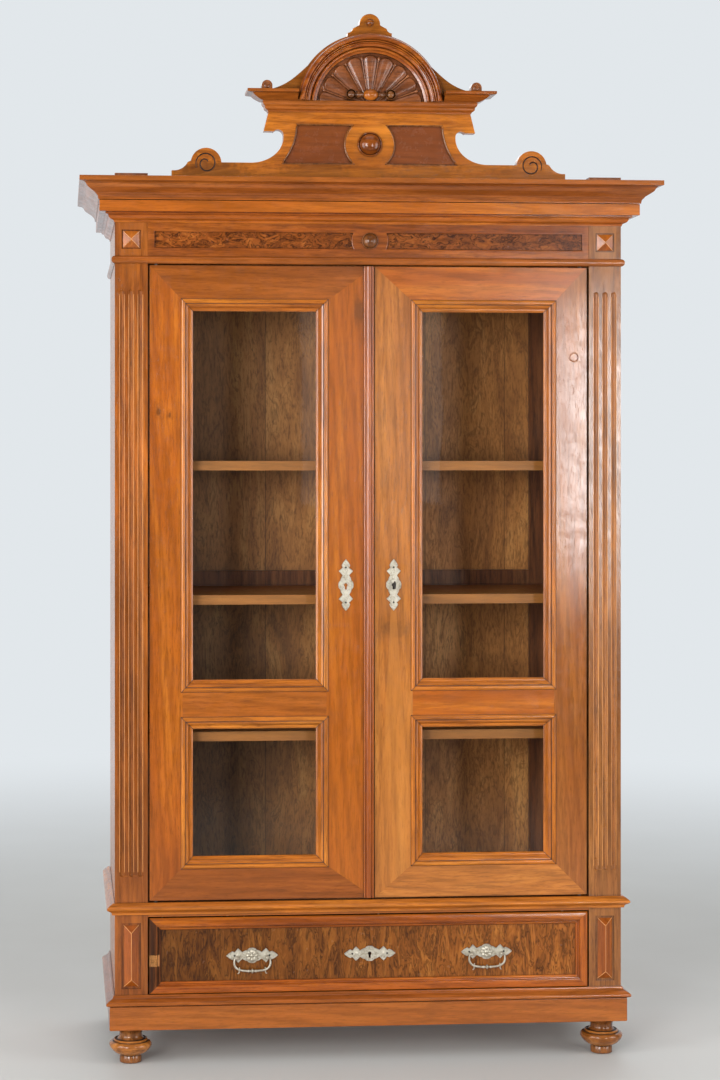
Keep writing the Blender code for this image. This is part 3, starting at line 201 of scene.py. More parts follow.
# Metal fittings
PLATE_LENGTH = 0.108
PLATE_WIDTH = 0.0305
PLATE_THICK = 0.0018
PLATE_FLAT = 0.6  # the flat's share of the rim's thickness
LOZENGE_AT = 0.555  # share of the plate's half length
LOZENGE = ((0.0052, 0.0), (0.0044, -0.0004), (0.0, -0.0016))  # radius and depth
KEYHOLE_RADIUS = 0.0040
KEYHOLE_DROP = 0.0098
COLLAR_RADIUS = 0.0118
COLLAR_WIRE = 0.0006
NAIL_AT = 0.0378
NAIL_RADIUS = 0.0021
NAIL_RISE = 0.0011
EAR_SPREAD = 0.0325
EAR_RADIUS = 0.004
EAR_LONG = 0.011
EAR_DROP = 0.004  # below the plate's middle
EAR_BORE = 0.0022
BAIL_RADIUS = 0.0017
BAIL_WIRE = 0.0022
BAIL_HALF = 0.039
BAIL_DROP = 0.0280
BALL_AT = 0.0078  # from the bail's middle
DOME_RADIUS = 0.0130
DOME_RISE = 0.0048

Z_ARCH = Z_ARCH_FOOT - ARCH_SINK


# Shapes, each a bmesh

def block(low, high):
    """A box between two opposite corners."""
    bm = bmesh.new()
    bmesh.ops.create_cube(bm, size=1.0)
    for vert in bm.verts:
        vert.co = Vector([(a + b) / 2 + c * (b - a) for a, b, c in zip(low, high, vert.co)])
    return bm


def skinned(loops, ring=False):
    """Faces between matching loops of points, with end caps or, for a ring, back to the first loop."""
    bm = bmesh.new()
    rows = [[bm.verts.new(point) for point in loop] for loop in loops]
    for near, far in zip(rows, rows[1:] + rows[:1] if ring else rows[1:]):
        for i in range(len(near)):
            bm.faces.new((near[i - 1], near[i], far[i], far[i - 1]))
    if not ring:
        bm.faces.new(rows[0])
        bm.faces.new(rows[-1])
    bmesh.ops.recalc_face_normals(bm, faces=bm.faces)
    return bm


def prism(outline, axis, start, end):
    """A closed outline drawn across an axis and extruded along it."""
    first, second, along = AXES[axis]
    loops = []
    for distance in (start, end):
        loop = []
        for a, b in outline:
            point = [0.0, 0.0, 0.0]
            point[first], point[second], point[along] = a, b, distance
            loop.append(point)
        loops.append(loop)
    return skinned(loops)


def turned(profile, centre, axis="Z", sides=FINE):
    """Turned work: (radius, distance along the axis) pairs, with no radius of 0 but at the ends."""
    first, second, along = AXES[axis]
    bm = bmesh.new()
    rows = []
    for radius, distance in profile:
        row = []
        for i in range(sides if radius > NOTHING else 1):
            turn = 2 * math.pi * i / sides
            point = list(centre)
            point[first] += radius * math.cos(turn)
            point[second] += radius * math.sin(turn)
            point[along] += distance
            row.append(bm.verts.new(point))
        rows.append(row)
    for near, far in zip(rows, rows[1:]):
        for i in range(sides):
            if len(near) == len(far):
                bm.faces.new((near[i - 1], near[i], far[i], far[i - 1]))
            else:
                tip, rim = (near[0], far) if len(near) == 1 else (far[0], near)
                bm.faces.new((tip, rim[i - 1], rim[i]))
    for row in (rows[0], rows[-1]):
        if len(row) > 1:
            bm.faces.new(row)
    bmesh.ops.recalc_face_normals(bm, faces=bm.faces)
    return bm


def tube(route, radii, normal, sides=16, closed=False):
    """A round bar along a route that lies in one plane, with its own radius at each point."""
    normal = Vector(normal)
    points = [Vector(point) for point in route]
    loops = []
    for i, (point, radius) in enumerate(zip(points, radii)):
        ahead = points[(i + 1) % len(points)] if closed else points[min(i + 1, len(points) - 1)]
        behind = points[i - 1] if closed or i else points[0]
        across = normal.cross((ahead - behind).normalized())
        turns = [2 * math.pi * step / sides for step in range(sides)]
        loops.append([point + radius * (math.cos(turn) * across + math.sin(turn) * normal)
                      for turn in turns])
    return skinned(loops, ring=closed)


def polar(radius, turn):
    """The two coordinates of a point at a radius and an angle."""
    return radius * math.cos(turn), radius * math.sin(turn)


def arc(centre, radius, start, end, steps):
    """Points on an arc, angles in degrees, both ends included."""
    points = []
    for i in range(steps + 1):
        x, z = polar(radius, math.radians(start + (end - start) * i / steps))
        points.append((centre[0] + x, centre[1] + z))
    return points


def curve(share, a, b, c, d):
    """A value between b and c, on the smooth curve through four values."""
    bend = (2 * a - 5 * b + 4 * c - d) * share ** 2 / 2
    return b + (c - a) * share / 2 + bend + (3 * b - a - 3 * c + d) * share ** 3 / 2


def rounded(points, corners=(), steps=4):
    """A smooth line through points that keeps a corner at the numbered ones and at both ends."""
    kept = {0, len(points) - 1}.union(corner % len(points) for corner in corners)
    made = [tuple(points[0])]
    for i in range(len(points) - 1):
        start, end = points[i], points[i + 1]
        if i in kept and i + 1 in kept:
            made.append(tuple(end))
            continue
        before = start if i in kept else points[i - 1]
        after = end if i + 1 in kept else points[i + 2]
        for step in range(1, steps + 1):
            made.append(tuple(curve(step / steps, *four) for four in zip(before, start, end, after)))
    return made


def scaled(shares, origin, size):
    """Shares of a size turned into places."""
    return [(origin[0] + a * size[0], origin[1] + b * size[1]) for a, b in shares]


def mirrored(points):
    """A right-hand outline joined to its mirror image."""
    return points + [(-a, b) for a, b in reversed(points) if abs(a) > NOTHING]


def grown(outline, distance):
    """A closed outline, drawn either way round, moved outwards by a distance."""
    area = sum(a[0] * b[1] - b[0] * a[1] for a, b in zip(outline, outline[1:] + outline[:1]))
    made = []
    for i, (x, z) in enumerate(outline):
        before, after = outline[i - 1], outline[(i + 1) % len(outline)]
        first = Vector((z - before[1], before[0] - x)).normalized()
        second = Vector((after[1] - z, x - after[0])).normalized()
        middle = (first + second).normalized()
        reach = math.copysign(distance, area) / max(0.5, middle.dot(first))
        made.append((x + middle.x * reach, z + middle.y * reach))
    return made


def chamfered_hole(outline, face, depth, width):
    """The tool for a hole through a board's front, wider at the face by a chamfer."""
    loops = []
    for out, y in ((2 * width, face - width), (0.0, face + width), (0.0, face + depth)):
        loops.append([(x, y, z) for x, z in grown(outline, out)])
    return skinned(loops)


def linked(name, data):
    """A new object in the scene."""
    made = bpy.data.objects.new(name, data)
    bpy.context.collection.objects.link(made)
    return made


def temporary(shape):
    """A short-lived object that cuts or is cut, with room for two finishes."""
    mesh = bpy.data.meshes.new("tool")
    mesh.materials.append(None)
    mesh.materials.append(None)
    shape.to_mesh(mesh)
    shape.free()
    return linked("tool", mesh)


def second_finish(tool):
    """A tool that leaves the second finish where it cuts."""
    for face in tool.faces:
        face.material_index = 1
    return tool


def cut(shape, *tools):
    """What is left of a shape when the tools are taken from it."""
    target = temporary(shape)
    helpers = [temporary(tool) for tool in tools]
    for helper in helpers:
        modifier = target.modifiers.new("cut", "BOOLEAN")
        modifier.operation = "DIFFERENCE"
        modifier.object = helper
    mesh = bpy.data.meshes.new_from_object(target.evaluated_get(bpy.context.evaluated_depsgraph_get()))
    made = bmesh.new()
    made.from_mesh(mesh)
    bpy.data.meshes.remove(mesh)
    for helper in [target, *helpers]:
        mesh = helper.data
        bpy.data.objects.remove(helper)
        bpy.data.meshes.remove(mesh)
    return made


def trimmed(shape, level):
    """What lies above a level, closed flat there."""
    everything = shape.verts[:] + shape.edges[:] + shape.faces[:]
    made = bmesh.ops.bisect_plane(
        shape, geom=everything, plane_co=(0, 0, level), plane_no=(0, 0, 1), clear_inner=True)
    edges = [item for item in made["geom_cut"] if isinstance(item, bmesh.types.BMEdge)]
    bmesh.ops.holes_fill(shape, edges=edges)
    bmesh.ops.recalc_face_normals(shape, faces=shape.faces)
    return shape


# Pieces

def piece(name, shapes, nodes, body="cabinet", edge=0.0, angle=40):
    """One object made of (shape, finish) pairs, set on its body in place of nodes of the frame."""
    whole = bmesh.new()
    board = whole.faces.layers.float.new("board")
    finishes = []
    for shape, finish in shapes:
        start = len(whole.faces)
        part = bpy.data.meshes.new("part")
        shape.to_mesh(part)
        shape.free()
        whole.from_mesh(part)
        bpy.data.meshes.remove(part)
        whole.faces.ensure_lookup_table()
        names = finish if isinstance(finish, tuple) else (finish,)
        finishes += [each for each in names if each not in finishes]
        timber = DRAWS.random()
        for face in whole.faces[start:]:
            face.material_index = finishes.index(names[min(face.material_index, len(names) - 1)])
            face[board] = timber
    mesh = bpy.data.meshes.new(name)
    whole.to_mesh(mesh)
    whole.free()
    for each in finishes:
        mesh.materials.append(FINISHES[each])
    mesh.shade_smooth()
    mesh.set_sharp_from_angle(angle=math.radians(angle))
    made = linked(name, mesh)
    if edge:
        rounding = made.modifiers.new("edges", "BEVEL")
        rounding.width = edge
        rounding.segments = 2
        rounding.limit_method = "ANGLE"
        rounding.angle_limit = math.radians(angle)
        rounding.harden_normals = True
    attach(made, body)
    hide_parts(*nodes)


# Finishes

FINISHES = {}
GRAIN = 0.08  # the figure drawn out along the grain
BOARD_STEP = (31.0, 17.0, 23.0)  # keeps the boards' figures apart
PLANKS = 5.3  # boards to a metre of the back panel
PLANK_STEP = (2.3, 0.0, 3.7)
CASE_HALF = 0.45  # half the width over which a finish changes across the case
RECESS_DIRT_AND_SHADE = (0.020, 0.007, 0.003)  # colour of the soiling and painted shade in recesses of the timber


def fresh(name):
    """A new finish: its node tree and its surface shader."""
    made = bpy.data.materials.new(f"look_{name}")
    made.use_nodes = True
    FINISHES[name] = made
    return made.node_tree, made.node_tree.nodes["Principled BSDF"]


def node(tree, kind, inputs, **settings):
    """A shader node with its settings and with its inputs set or linked."""
    made = tree.nodes.new(f"ShaderNode{kind}")
    for key, value in settings.items():
        setattr(made, key, value)
    for key, value in inputs.items():
        if isinstance(value, bpy.types.NodeSocket):
            tree.links.new(value, made.inputs[key])
        else:
            made.inputs[key].default_value = value
    return made


def noise(tree, place, scale, detail=3.0, rough=0.55, twist=0.0):
    """A value that wanders between 0 and 1 from place to place."""
    inputs = {"Vector": place, "Scale": scale, "Detail": detail, "Roughness": rough, "Distortion": twist}
    return node(tree, "TexNoise", inputs).outputs["Fac"]


def ramp(tree, value, stops):
    """Colours at shares of a value, blended between."""
    made = node(tree, "ValToRGB", {"Fac": value})
    steps = made.color_ramp.elements
    while len(steps) < len(stops):
        steps.new(0.5)
    for step, (at, colour) in zip(steps, stops):
        step.position = at
        step.color = (*colour, 1.0) if isinstance(colour, tuple) else (colour, colour, colour, 1.0)
    return made.outputs["Color"]


def sums(tree, operation, a, b=0.0):
    """Arithmetic on values that vary over a surface."""
    return node(tree, "Math", {0: a, 1: b}, operation=operation).outputs[0]


def times(tree, a, b):
    return sums(tree, "MULTIPLY", a, b)


def vector(tree, operation, a, b):
    """Arithmetic on places."""
    return node(tree, "VectorMath", {0: a, 1: b}, operation=operation).outputs[0]


def stepped(tree, step, count):
    """A step in space taken a number of times."""
    return node(tree, "VectorMath", {0: step, "Scale": count}, operation="SCALE").outputs[0]


def ridged(tree, value):
    """How far a value is from its middle, which draws thin lines."""
    return sums(tree, "ABSOLUTE", sums(tree, "SUBTRACT", value, 0.5))


def tint(colour, share):
    """A colour made darker or paler."""
    return tuple(part * share for part in colour)


def valued(tree, share, colour):
    """A colour made darker or paler by a share that varies over the surface."""
    return node(tree, "HueSaturation", {"Value": share, "Color": colour}).outputs["Color"]


def blend(tree, share, under, over):
    """One colour laid over another by a share."""
    made = node(tree, "Mix", {0: share}, data_type="RGBA")
    for key, value in ((6, under), (7, over)):
        if isinstance(value, tuple):
            made.inputs[key].default_value = (*value, 1.0)
        else:
            tree.links.new(value, made.inputs[key])
    return made.outputs[2]


def object_place(tree):
    return node(tree, "TexCoord", {}).outputs["Object"]


def timber_place(tree, stretch):
    """Coordinates drawn out along the grain, with a different length of timber for each board."""
    own = object_place(tree)
    board = node(tree, "Attribute", {}, attribute_name="board").outputs["Fac"]
    moved = vector(tree, "ADD", own, stepped(tree, BOARD_STEP, board))
    return own, board, vector(tree, "MULTIPLY", moved, stretch)


def swirled(tree, place, scale, rough, reach):
    """Coordinates pushed about by a noise."""
    push = {"Vector": place, "Scale": scale, "Detail": 3.0, "Roughness": rough}
    sway = {0: node(tree, "TexNoise", push).outputs["Color"], 1: (reach, reach, reach), 2: place}
    return node(tree, "VectorMath", sway, operation="MULTIPLY_ADD").outputs[0]


def across_case(tree, own, start=0.0, end=1.0):
    """A value that runs from the case's left side to its right."""
    side = node(tree, "SeparateXYZ", {0: own}).outputs["X"]
    return node(tree, "MapRange", {0: side, 1: -CASE_HALF, 2: CASE_HALF, 3: start, 4: end}).outputs[0]


def recess_dirt_and_shade(tree, reach):
    """How much soiling, old polish and painted shade lies in a recess, from 0 in the open to 1."""
    open_share = node(tree, "AmbientOcclusion", {"Distance": reach}, samples=6).outputs["AO"]
    return ramp(tree, open_share, [(0.30, 1.0), (0.80, 0.0)])


def with_dirt_and_shade(tree, colour, reach, share, dirt):
    """A colour with soiling and painted shade laid over it in the recesses."""
    return blend(tree, times(tree, recess_dirt_and_shade(tree, reach), share), colour, dirt)


def wear(tree):
    """Rubbed edges, from 0 to 1."""
    sharp = node(tree, "NewGeometry", {}).outputs["Pointiness"]
    return ramp(tree, sharp, [(0.515, 0.0), (0.60, 1.0)])


def finish_surface(tree, shader, colour, rough, height, depth):
    """Colour, roughness and fine relief set on a finish."""
    bump = node(tree, "Bump", {"Strength": 0.5, "Distance": depth, "Height": height}).outputs["Normal"]
    tree.links.new(colour, shader.inputs["Base Color"])
    tree.links.new(rough, shader.inputs["Roughness"])
    tree.links.new(bump, shader.inputs["Normal"])


WOODS = {
    "walnut": ((0.170, 0.031, 0.0040), (0.295, 0.067, 0.0066), (0.420, 0.125, 0.0120)),
    "gold_walnut": ((0.235, 0.058, 0.0068), (0.410, 0.116, 0.0112), (0.540, 0.185, 0.0210)),
    "brown_walnut": ((0.140, 0.032, 0.0048), (0.245, 0.060, 0.0076), (0.350, 0.105, 0.0150)),
    "post_walnut": ((0.120, 0.028, 0.0044), (0.218, 0.055, 0.0072), (0.330, 0.098, 0.0140)),
    # Paler, bluer copies of walnut for the right-hand post, flutes, stiles, plug and foot rail: painted
    # sheen from the light at the right. left_flute is paler than the post for painted light in the flutes'
    # middle.
    "right_post_sheen_walnut": ((0.112, 0.036, 0.0100), (0.200, 0.068, 0.0160), (0.318, 0.122, 0.0300)),
    "right_sheen_walnut": ((0.202, 0.056, 0.0116), (0.353, 0.112, 0.0190), (0.464, 0.179, 0.0357)),
    "mauve_sheen_walnut": ((0.139, 0.031, 0.0084), (0.242, 0.067, 0.0139), (0.344, 0.125, 0.0252)),
    "left_flute": ((0.165, 0.044, 0.0070), (0.285, 0.080, 0.0115), (0.400, 0.135, 0.0230)),
    "right_flute": ((0.220, 0.070, 0.0120), (0.376, 0.122, 0.0194), (0.500, 0.190, 0.0370)),
    "red_walnut": ((0.075, 0.015, 0.0034), (0.145, 0.032, 0.0062), (0.220, 0.057, 0.0110)),
    "dark_walnut": ((0.090, 0.024, 0.0070), (0.205, 0.060, 0.0170), (0.320, 0.112, 0.0360)),
    "turned_walnut": ((0.075, 0.022, 0.0050), (0.165, 0.053, 0.0120), (0.270, 0.098, 0.0240)),
    "worn": ((0.008, 0.003, 0.0015), (0.036, 0.011, 0.0040), (0.200, 0.060, 0.0150)),
    "dirt": ((0.012, 0.004, 0.0020), (0.024, 0.009, 0.0040), (0.045, 0.018, 0.0080)),
    "foot_walnut": ((0.170, 0.050, 0.0090), (0.300, 0.095, 0.0160), (0.420, 0.160, 0.0330)),
    "pale_wood": ((0.420, 0.145, 0.0330), (0.580, 0.230, 0.0560), (0.720, 0.340, 0.1100)),
    "oak": ((0.190, 0.064, 0.0140), (0.355, 0.134, 0.0310), (0.500, 0.225, 0.0640)),
    "shelf_oak": ((0.175, 0.048, 0.0070), (0.300, 0.092, 0.0148), (0.400, 0.146, 0.0290)),
}


def wood(name, kind, grain, gloss=0.19, coat=0.10, streak=1.0, marks=(), reach=0.009, dirt=0.78,
         shine=0.36, painted_light_patches=()):
    """Polished timber with its grain along one axis: clouds, growth rings, pores, soiling and painted shade
    in recesses, and worn edges.
    """
    tree, shader = fresh(name)
    own, board, place = timber_place(tree, tuple(GRAIN if axis == grain else 1.0 for axis in "XYZ"))
    deep, mid, pale = WOODS[kind]
    clouds = noise(tree, place, 17.0 * streak, 6.0, 0.64, 0.8)
    colour = ramp(tree, clouds, [(0.29, deep), (0.50, mid), (0.70, pale)])
    wave = {"Vector": place, "Scale": 26.0 * streak, "Distortion": 14.0, "Detail": 3.0, "Detail Scale": 0.30,
            "Detail Roughness": 0.62}
    rings = node(tree, "TexWave", wave, bands_direction="DIAGONAL").outputs["Fac"]
    lines = ramp(tree, rings, [(0.0, 0.0), (0.55, 0.06), (1.0, 0.42)])
    colour = blend(tree, lines, colour, tint(deep, 0.62))
    hairs = noise(tree, place, 150.0, 4.0, 0.72)
    colour = blend(tree, ramp(tree, hairs, [(0.36, 0.62), (0.54, 0.0)]), colour, tint(deep, 0.5))
    pores = ramp(tree, noise(tree, place, 520.0, 2.0, 0.7), [(0.33, 1.0), (0.43, 0.0)])
    colour = blend(tree, times(tree, pores, 0.5), colour, tint(deep, 0.3))
    patina = times(tree, noise(tree, own, 4.3), 0.60)
    lift = sums(tree, "ADD", times(tree, board, 0.22), sums(tree, "ADD", patina, 0.59))
    colour = valued(tree, lift, colour)
    # Patches of painted light and painted shade.
    for painted_patch in painted_light_patches:
        colour = painted_light_patch(tree, own, colour, *painted_patch)
    for mark in marks:
        colour = stain_and_shade(tree, own, colour, *mark)
    colour = blend(tree, times(tree, wear(tree), 0.40), colour, tint(pale, 1.2))
    # Soiling and painted shade in the recesses.
    colour = with_dirt_and_shade(tree, colour, reach, dirt, RECESS_DIRT_AND_SHADE)
    rough = ramp(tree, noise(tree, own, 46.0, 4.0, 0.7), [(0.3, gloss - 0.06), (0.7, gloss + 0.08)])
    height = sums(tree, "SUBTRACT", times(tree, hairs, 0.6), pores)
    finish_surface(tree, shader, colour, rough, height, 0.00007)
    shader.inputs["Coat Weight"].default_value = coat
    shader.inputs["Coat Roughness"].default_value = 0.20
    shader.inputs["Specular IOR Level"].default_value = shine


def figured_oak(name):
    """Old oak boards seen through the glass: upright grain, curled figure, knots and upright joints, with
    painted light and shade across the case.
    """
    tree, shader = fresh(name)
    own, _, place = timber_place(tree, (1.0, 1.0, 0.22))
    planks = times(tree, node(tree, "SeparateXYZ", {0: own}).outputs["X"], PLANKS)
    place = vector(tree, "ADD", place, stepped(tree, PLANK_STEP, sums(tree, "FLOOR", planks)))
    deep, mid, pale = WOODS["oak"]
    bent = swirled(tree, place, 9.0, 0.5, 0.14)
    colour = ramp(tree, noise(tree, bent, 16.0, 5.0, 0.62), [(0.30, deep), (0.52, mid), (0.72, pale)])
    curls = ridged(tree, noise(tree, bent, 44.0, 3.0, 0.5, 1.4))
    colour = blend(tree, ramp(tree, curls, [(0.0, 0.55), (0.035, 0.0)]), colour, tint(deep, 0.45))
    hairs = noise(tree, place, 260.0, 4.0, 0.7)
    colour = blend(tree, ramp(tree, hairs, [(0.36, 0.60), (0.52, 0.0)]), colour, tint(deep, 0.5))
    eyes = node(tree, "TexVoronoi", {"Vector": own, "Scale": 3.6}).outputs["Distance"]
    colour = blend(tree, ramp(tree, eyes, [(0.05, 0.85), (0.11, 0.0)]), colour, tint(deep, 0.4))
    joints = ramp(tree, sums(tree, "FRACT", planks), [(0.0, 0.9), (0.014, 0.0)])
    colour = blend(tree, joints, colour, tint(deep, 0.2))
    # Painted light across the back: darkest at the case's left, brightest a little right of the middle.
    light = ramp(tree, across_case(tree, own), [(0.0, 0.34), (0.55, 0.92), (1.0, 0.80)])
    colour = valued(tree, times(tree, light, 2.0), colour)
    colour = painted_light_patch(tree, own, colour, *OAK_PAINTED_SHADE)
    # Soiling and painted shade reaching far into the interior's corners.
    colour = with_dirt_and_shade(tree, colour, 0.05, 0.4, (0.030, 0.012, 0.005))
    finish_surface(tree, shader, colour, ramp(tree, hairs, [(0.3, 0.6), (0.7, 0.45)]), hairs, 0.0002)


def reach_from(tree, own, centre, size):
    """How far a point lies from a centre, 1 at the given half sizes."""
    shares = tuple(1 / part for part in size)
    away = vector(tree, "MULTIPLY", vector(tree, "SUBTRACT", own, centre), shares)
    return node(tree, "VectorMath", {0: away}, operation="LENGTH").outputs["Value"]


def painted_light_patch(tree, own, colour, centre, size, gain):
    """Painted light on the timber where the gain is above 1 and painted shade where it is below 1, most at
    the centre and not at all beyond the half sizes.
    """
    spread = {0: reach_from(tree, own, centre, size), 3: gain, 4: 1.0}
    share = node(tree, "MapRange", spread, interpolation_type="SMOOTHSTEP").outputs[0]
    return valued(tree, share, colour)


def stain_and_shade(tree, own, colour, centre, size, strength):
    """A soft-edged dark mark: staining in the timber, and on the crest board painted shade."""
    reach = reach_from(tree, own, centre, size)
    ragged = sums(tree, "ADD", reach, times(tree, noise(tree, own, 90.0, 4.0), 0.9))
    share = ramp(tree, ragged, [(0.75, strength), (1.0, strength * 0.35)])
    fade = node(tree, "MapRange", {0: ragged, 1: 0.95, 2: 1.5, 3: 1.0, 4: 0.0}).outputs[0]
    return blend(tree, times(tree, share, fade), colour, (0.030, 0.009, 0.005))


def burr(name, stretch, dark, mid, pale, shade, vein=0.85, fine=1.5):
    """Burr veneer: a flow of dark veins and pale clouds, with small knots, and painted light and shade
    across the case.
    """
    tree, shader = fresh(name)
    own, _, place = timber_place(tree, stretch)
    bent = swirled(tree, place, 14.0 * fine, 0.6, 0.16 / fine)
    clouds = noise(tree, bent, 26.0 * fine, 6.0, 0.66, 0.8)
    colour = ramp(tree, clouds, [(0.28, dark), (0.50, mid), (0.72, pale)])
    ridge = ridged(tree, noise(tree, bent, 19.0 * fine, 4.0, 0.6, 1.6))
    veins = ramp(tree, ridge, [(0.0, 1.0), (0.035, 0.25), (0.075, 0.0)])
    colour = blend(tree, times(tree, veins, vein), colour, (0.010, 0.0035, 0.0015))
    eyes = node(tree, "TexVoronoi", {"Vector": bent, "Scale": 42.0 * fine}).outputs["Distance"]
    knots = ramp(tree, eyes, [(0.10, 1.0), (0.24, 0.0)])
    colour = blend(tree, times(tree, knots, vein * 0.7), colour, tint(dark, 0.35))
    # Painted light and shade: darker towards one side of the case and paler towards the other.
    colour = valued(tree, across_case(tree, own, *shade), colour)
    colour = with_dirt_and_shade(tree, colour, 0.014, 0.8, (0.012, 0.004, 0.002))
    rough = ramp(tree, noise(tree, own, 60.0, 4.0), [(0.3, 0.16), (0.7, 0.28)])
    finish_surface(tree, shader, colour, rough, clouds, 0.0001)
    shader.inputs["Specular IOR Level"].default_value = 0.24


def metal(name, bright, dull, gloss, depth):
    """Worn plate: bright where raised, tarnished and darkened with painted shade in the hollows, with fine
    engraving and scratches.
    """
    tree, shader = fresh(name)
    own = object_place(tree)
    spots = noise(tree, own, 190.0, 5.0, 0.7, 1.2)
    colour = ramp(tree, spots, [(0.36, dull), (0.56, bright)])
    broad = ramp(tree, noise(tree, own, 34.0), [(0.42, 0.0), (0.70, 0.55)])
    colour = blend(tree, broad, colour, dull)
    # Tarnish and painted shade in the hollows.
    colour = with_dirt_and_shade(tree, colour, 0.004, 0.85, tint(dull, 0.15))
    colour = blend(tree, times(tree, wear(tree), 0.6), colour, bright)
    rough = ramp(tree, spots, [(0.3, gloss + 0.22), (0.7, gloss)])
    cells = node(tree, "TexVoronoi", {"Vector": own, "Scale": 330.0}, feature="DISTANCE_TO_EDGE")
    height = sums(tree, "ADD", cells.outputs["Distance"], spots)
    finish_surface(tree, shader, colour, rough, height, depth)
    shader.inputs["Metallic"].default_value = 0.60


def glass(name):
    """Old clear glass: mostly seen through, mirroring more at a slant, a little uneven and dusty."""
    tree, shader = fresh(name)
    own = object_place(tree)
    film = noise(tree, own, 5.0, 4.0)
    uneven = {"Strength": 0.2, "Distance": 0.001, "Height": noise(tree, own, 7.0, 1.0)}
    waves = node(tree, "Bump", uneven).outputs["Normal"]
    shader.inputs["Base Color"].default_value = (0.9, 0.95, 0.95, 1.0)
    shader.inputs["Metallic"].default_value = 1.0
    tree.links.new(waves, shader.inputs["Normal"])
    tree.links.new(ramp(tree, film, [(0.35, 0.01), (0.75, 0.05)]), shader.inputs["Roughness"])
    clear = node(tree, "BsdfTransparent", {"Color": (0.95, 0.97, 0.96, 1.0)}).outputs[0]
    slant = node(tree, "Fresnel", {"IOR": 1.45}).outputs[0]
    share = sums(tree, "ADD", slant, ramp(tree, film, [(0.5, 0.0), (0.85, 0.02)]))
    inside = node(tree, "NewGeometry", {}).outputs["Backfacing"]
    share = times(tree, share, sums(tree, "SUBTRACT", 1.0, inside))
    mixed = node(tree, "MixShader", {0: share, 1: clear, 2: shader.outputs[0]}).outputs[0]
    tree.links.new(mixed, tree.nodes["Material Output"].inputs["Surface"])


# Dark marks, staining in the doors' timber and painted shade on the crest board: place, half sizes and
# strength
OUTER_MARKS = (
    ((-0.456, DOOR_FACE, 1.400), (0.010, 0.02, 0.020), 0.85),
    ((-0.432, DOOR_FACE, 1.392), (0.008, 0.02, 0.013), 0.80),
)
INNER_MARKS = (((-0.023, DOOR_FACE, 1.618), (0.021, 0.02, 0.046), 0.85),)
RIGHT_MARKS = (((0.057, DOOR_FACE, 0.930), (0.060, 0.03, 0.040), 0.50),)
# Painted shade along the foot of the crest board, darkest on the left.
CREST_SHADE_MARKS = tuple(((x, CREST_FACE, Z_TOP + 0.020), (0.16, 0.10, 0.050), strength)
                    for x, strength in ((-0.34, 0.70), (-0.12, 0.50), (0.12, 0.50), (0.34, 0.40)))

# Patches of painted light and painted shade, and a darker finial: place, half sizes and gain
# Painted light on the middle of the left post, its flutes and the left door's outer stile.
POST_PAINTED_LIGHT = (((-0.52, FACE, 1.27), (0.3, 0.3, 0.65), 1.50),)
STILE_PAINTED_LIGHT = (((-0.44, DOOR_FACE, 1.50), (0.2, 0.1, 0.28), 1.22),)
# Painted shade low on the left of the interior's back.
OAK_PAINTED_SHADE = ((-0.27, 0.25, 0.55), (0.40, 1.0, 0.75), 0.50)
# Painted shade on the crest board's shoulders beside the arch; the finial is made darker too.
CREST_DARKENING = tuple(((x, CREST_FACE, Z_ARCH + 0.065), (0.070, 0.20, 0.10), 0.45) for x in (-0.172, 0.172))
CREST_DARKENING += (((0.0, CREST_FACE, Z_TOP + FINIAL_TOP - FINIAL_RADIUS), (0.085, 0.20, 0.060), 0.50),)


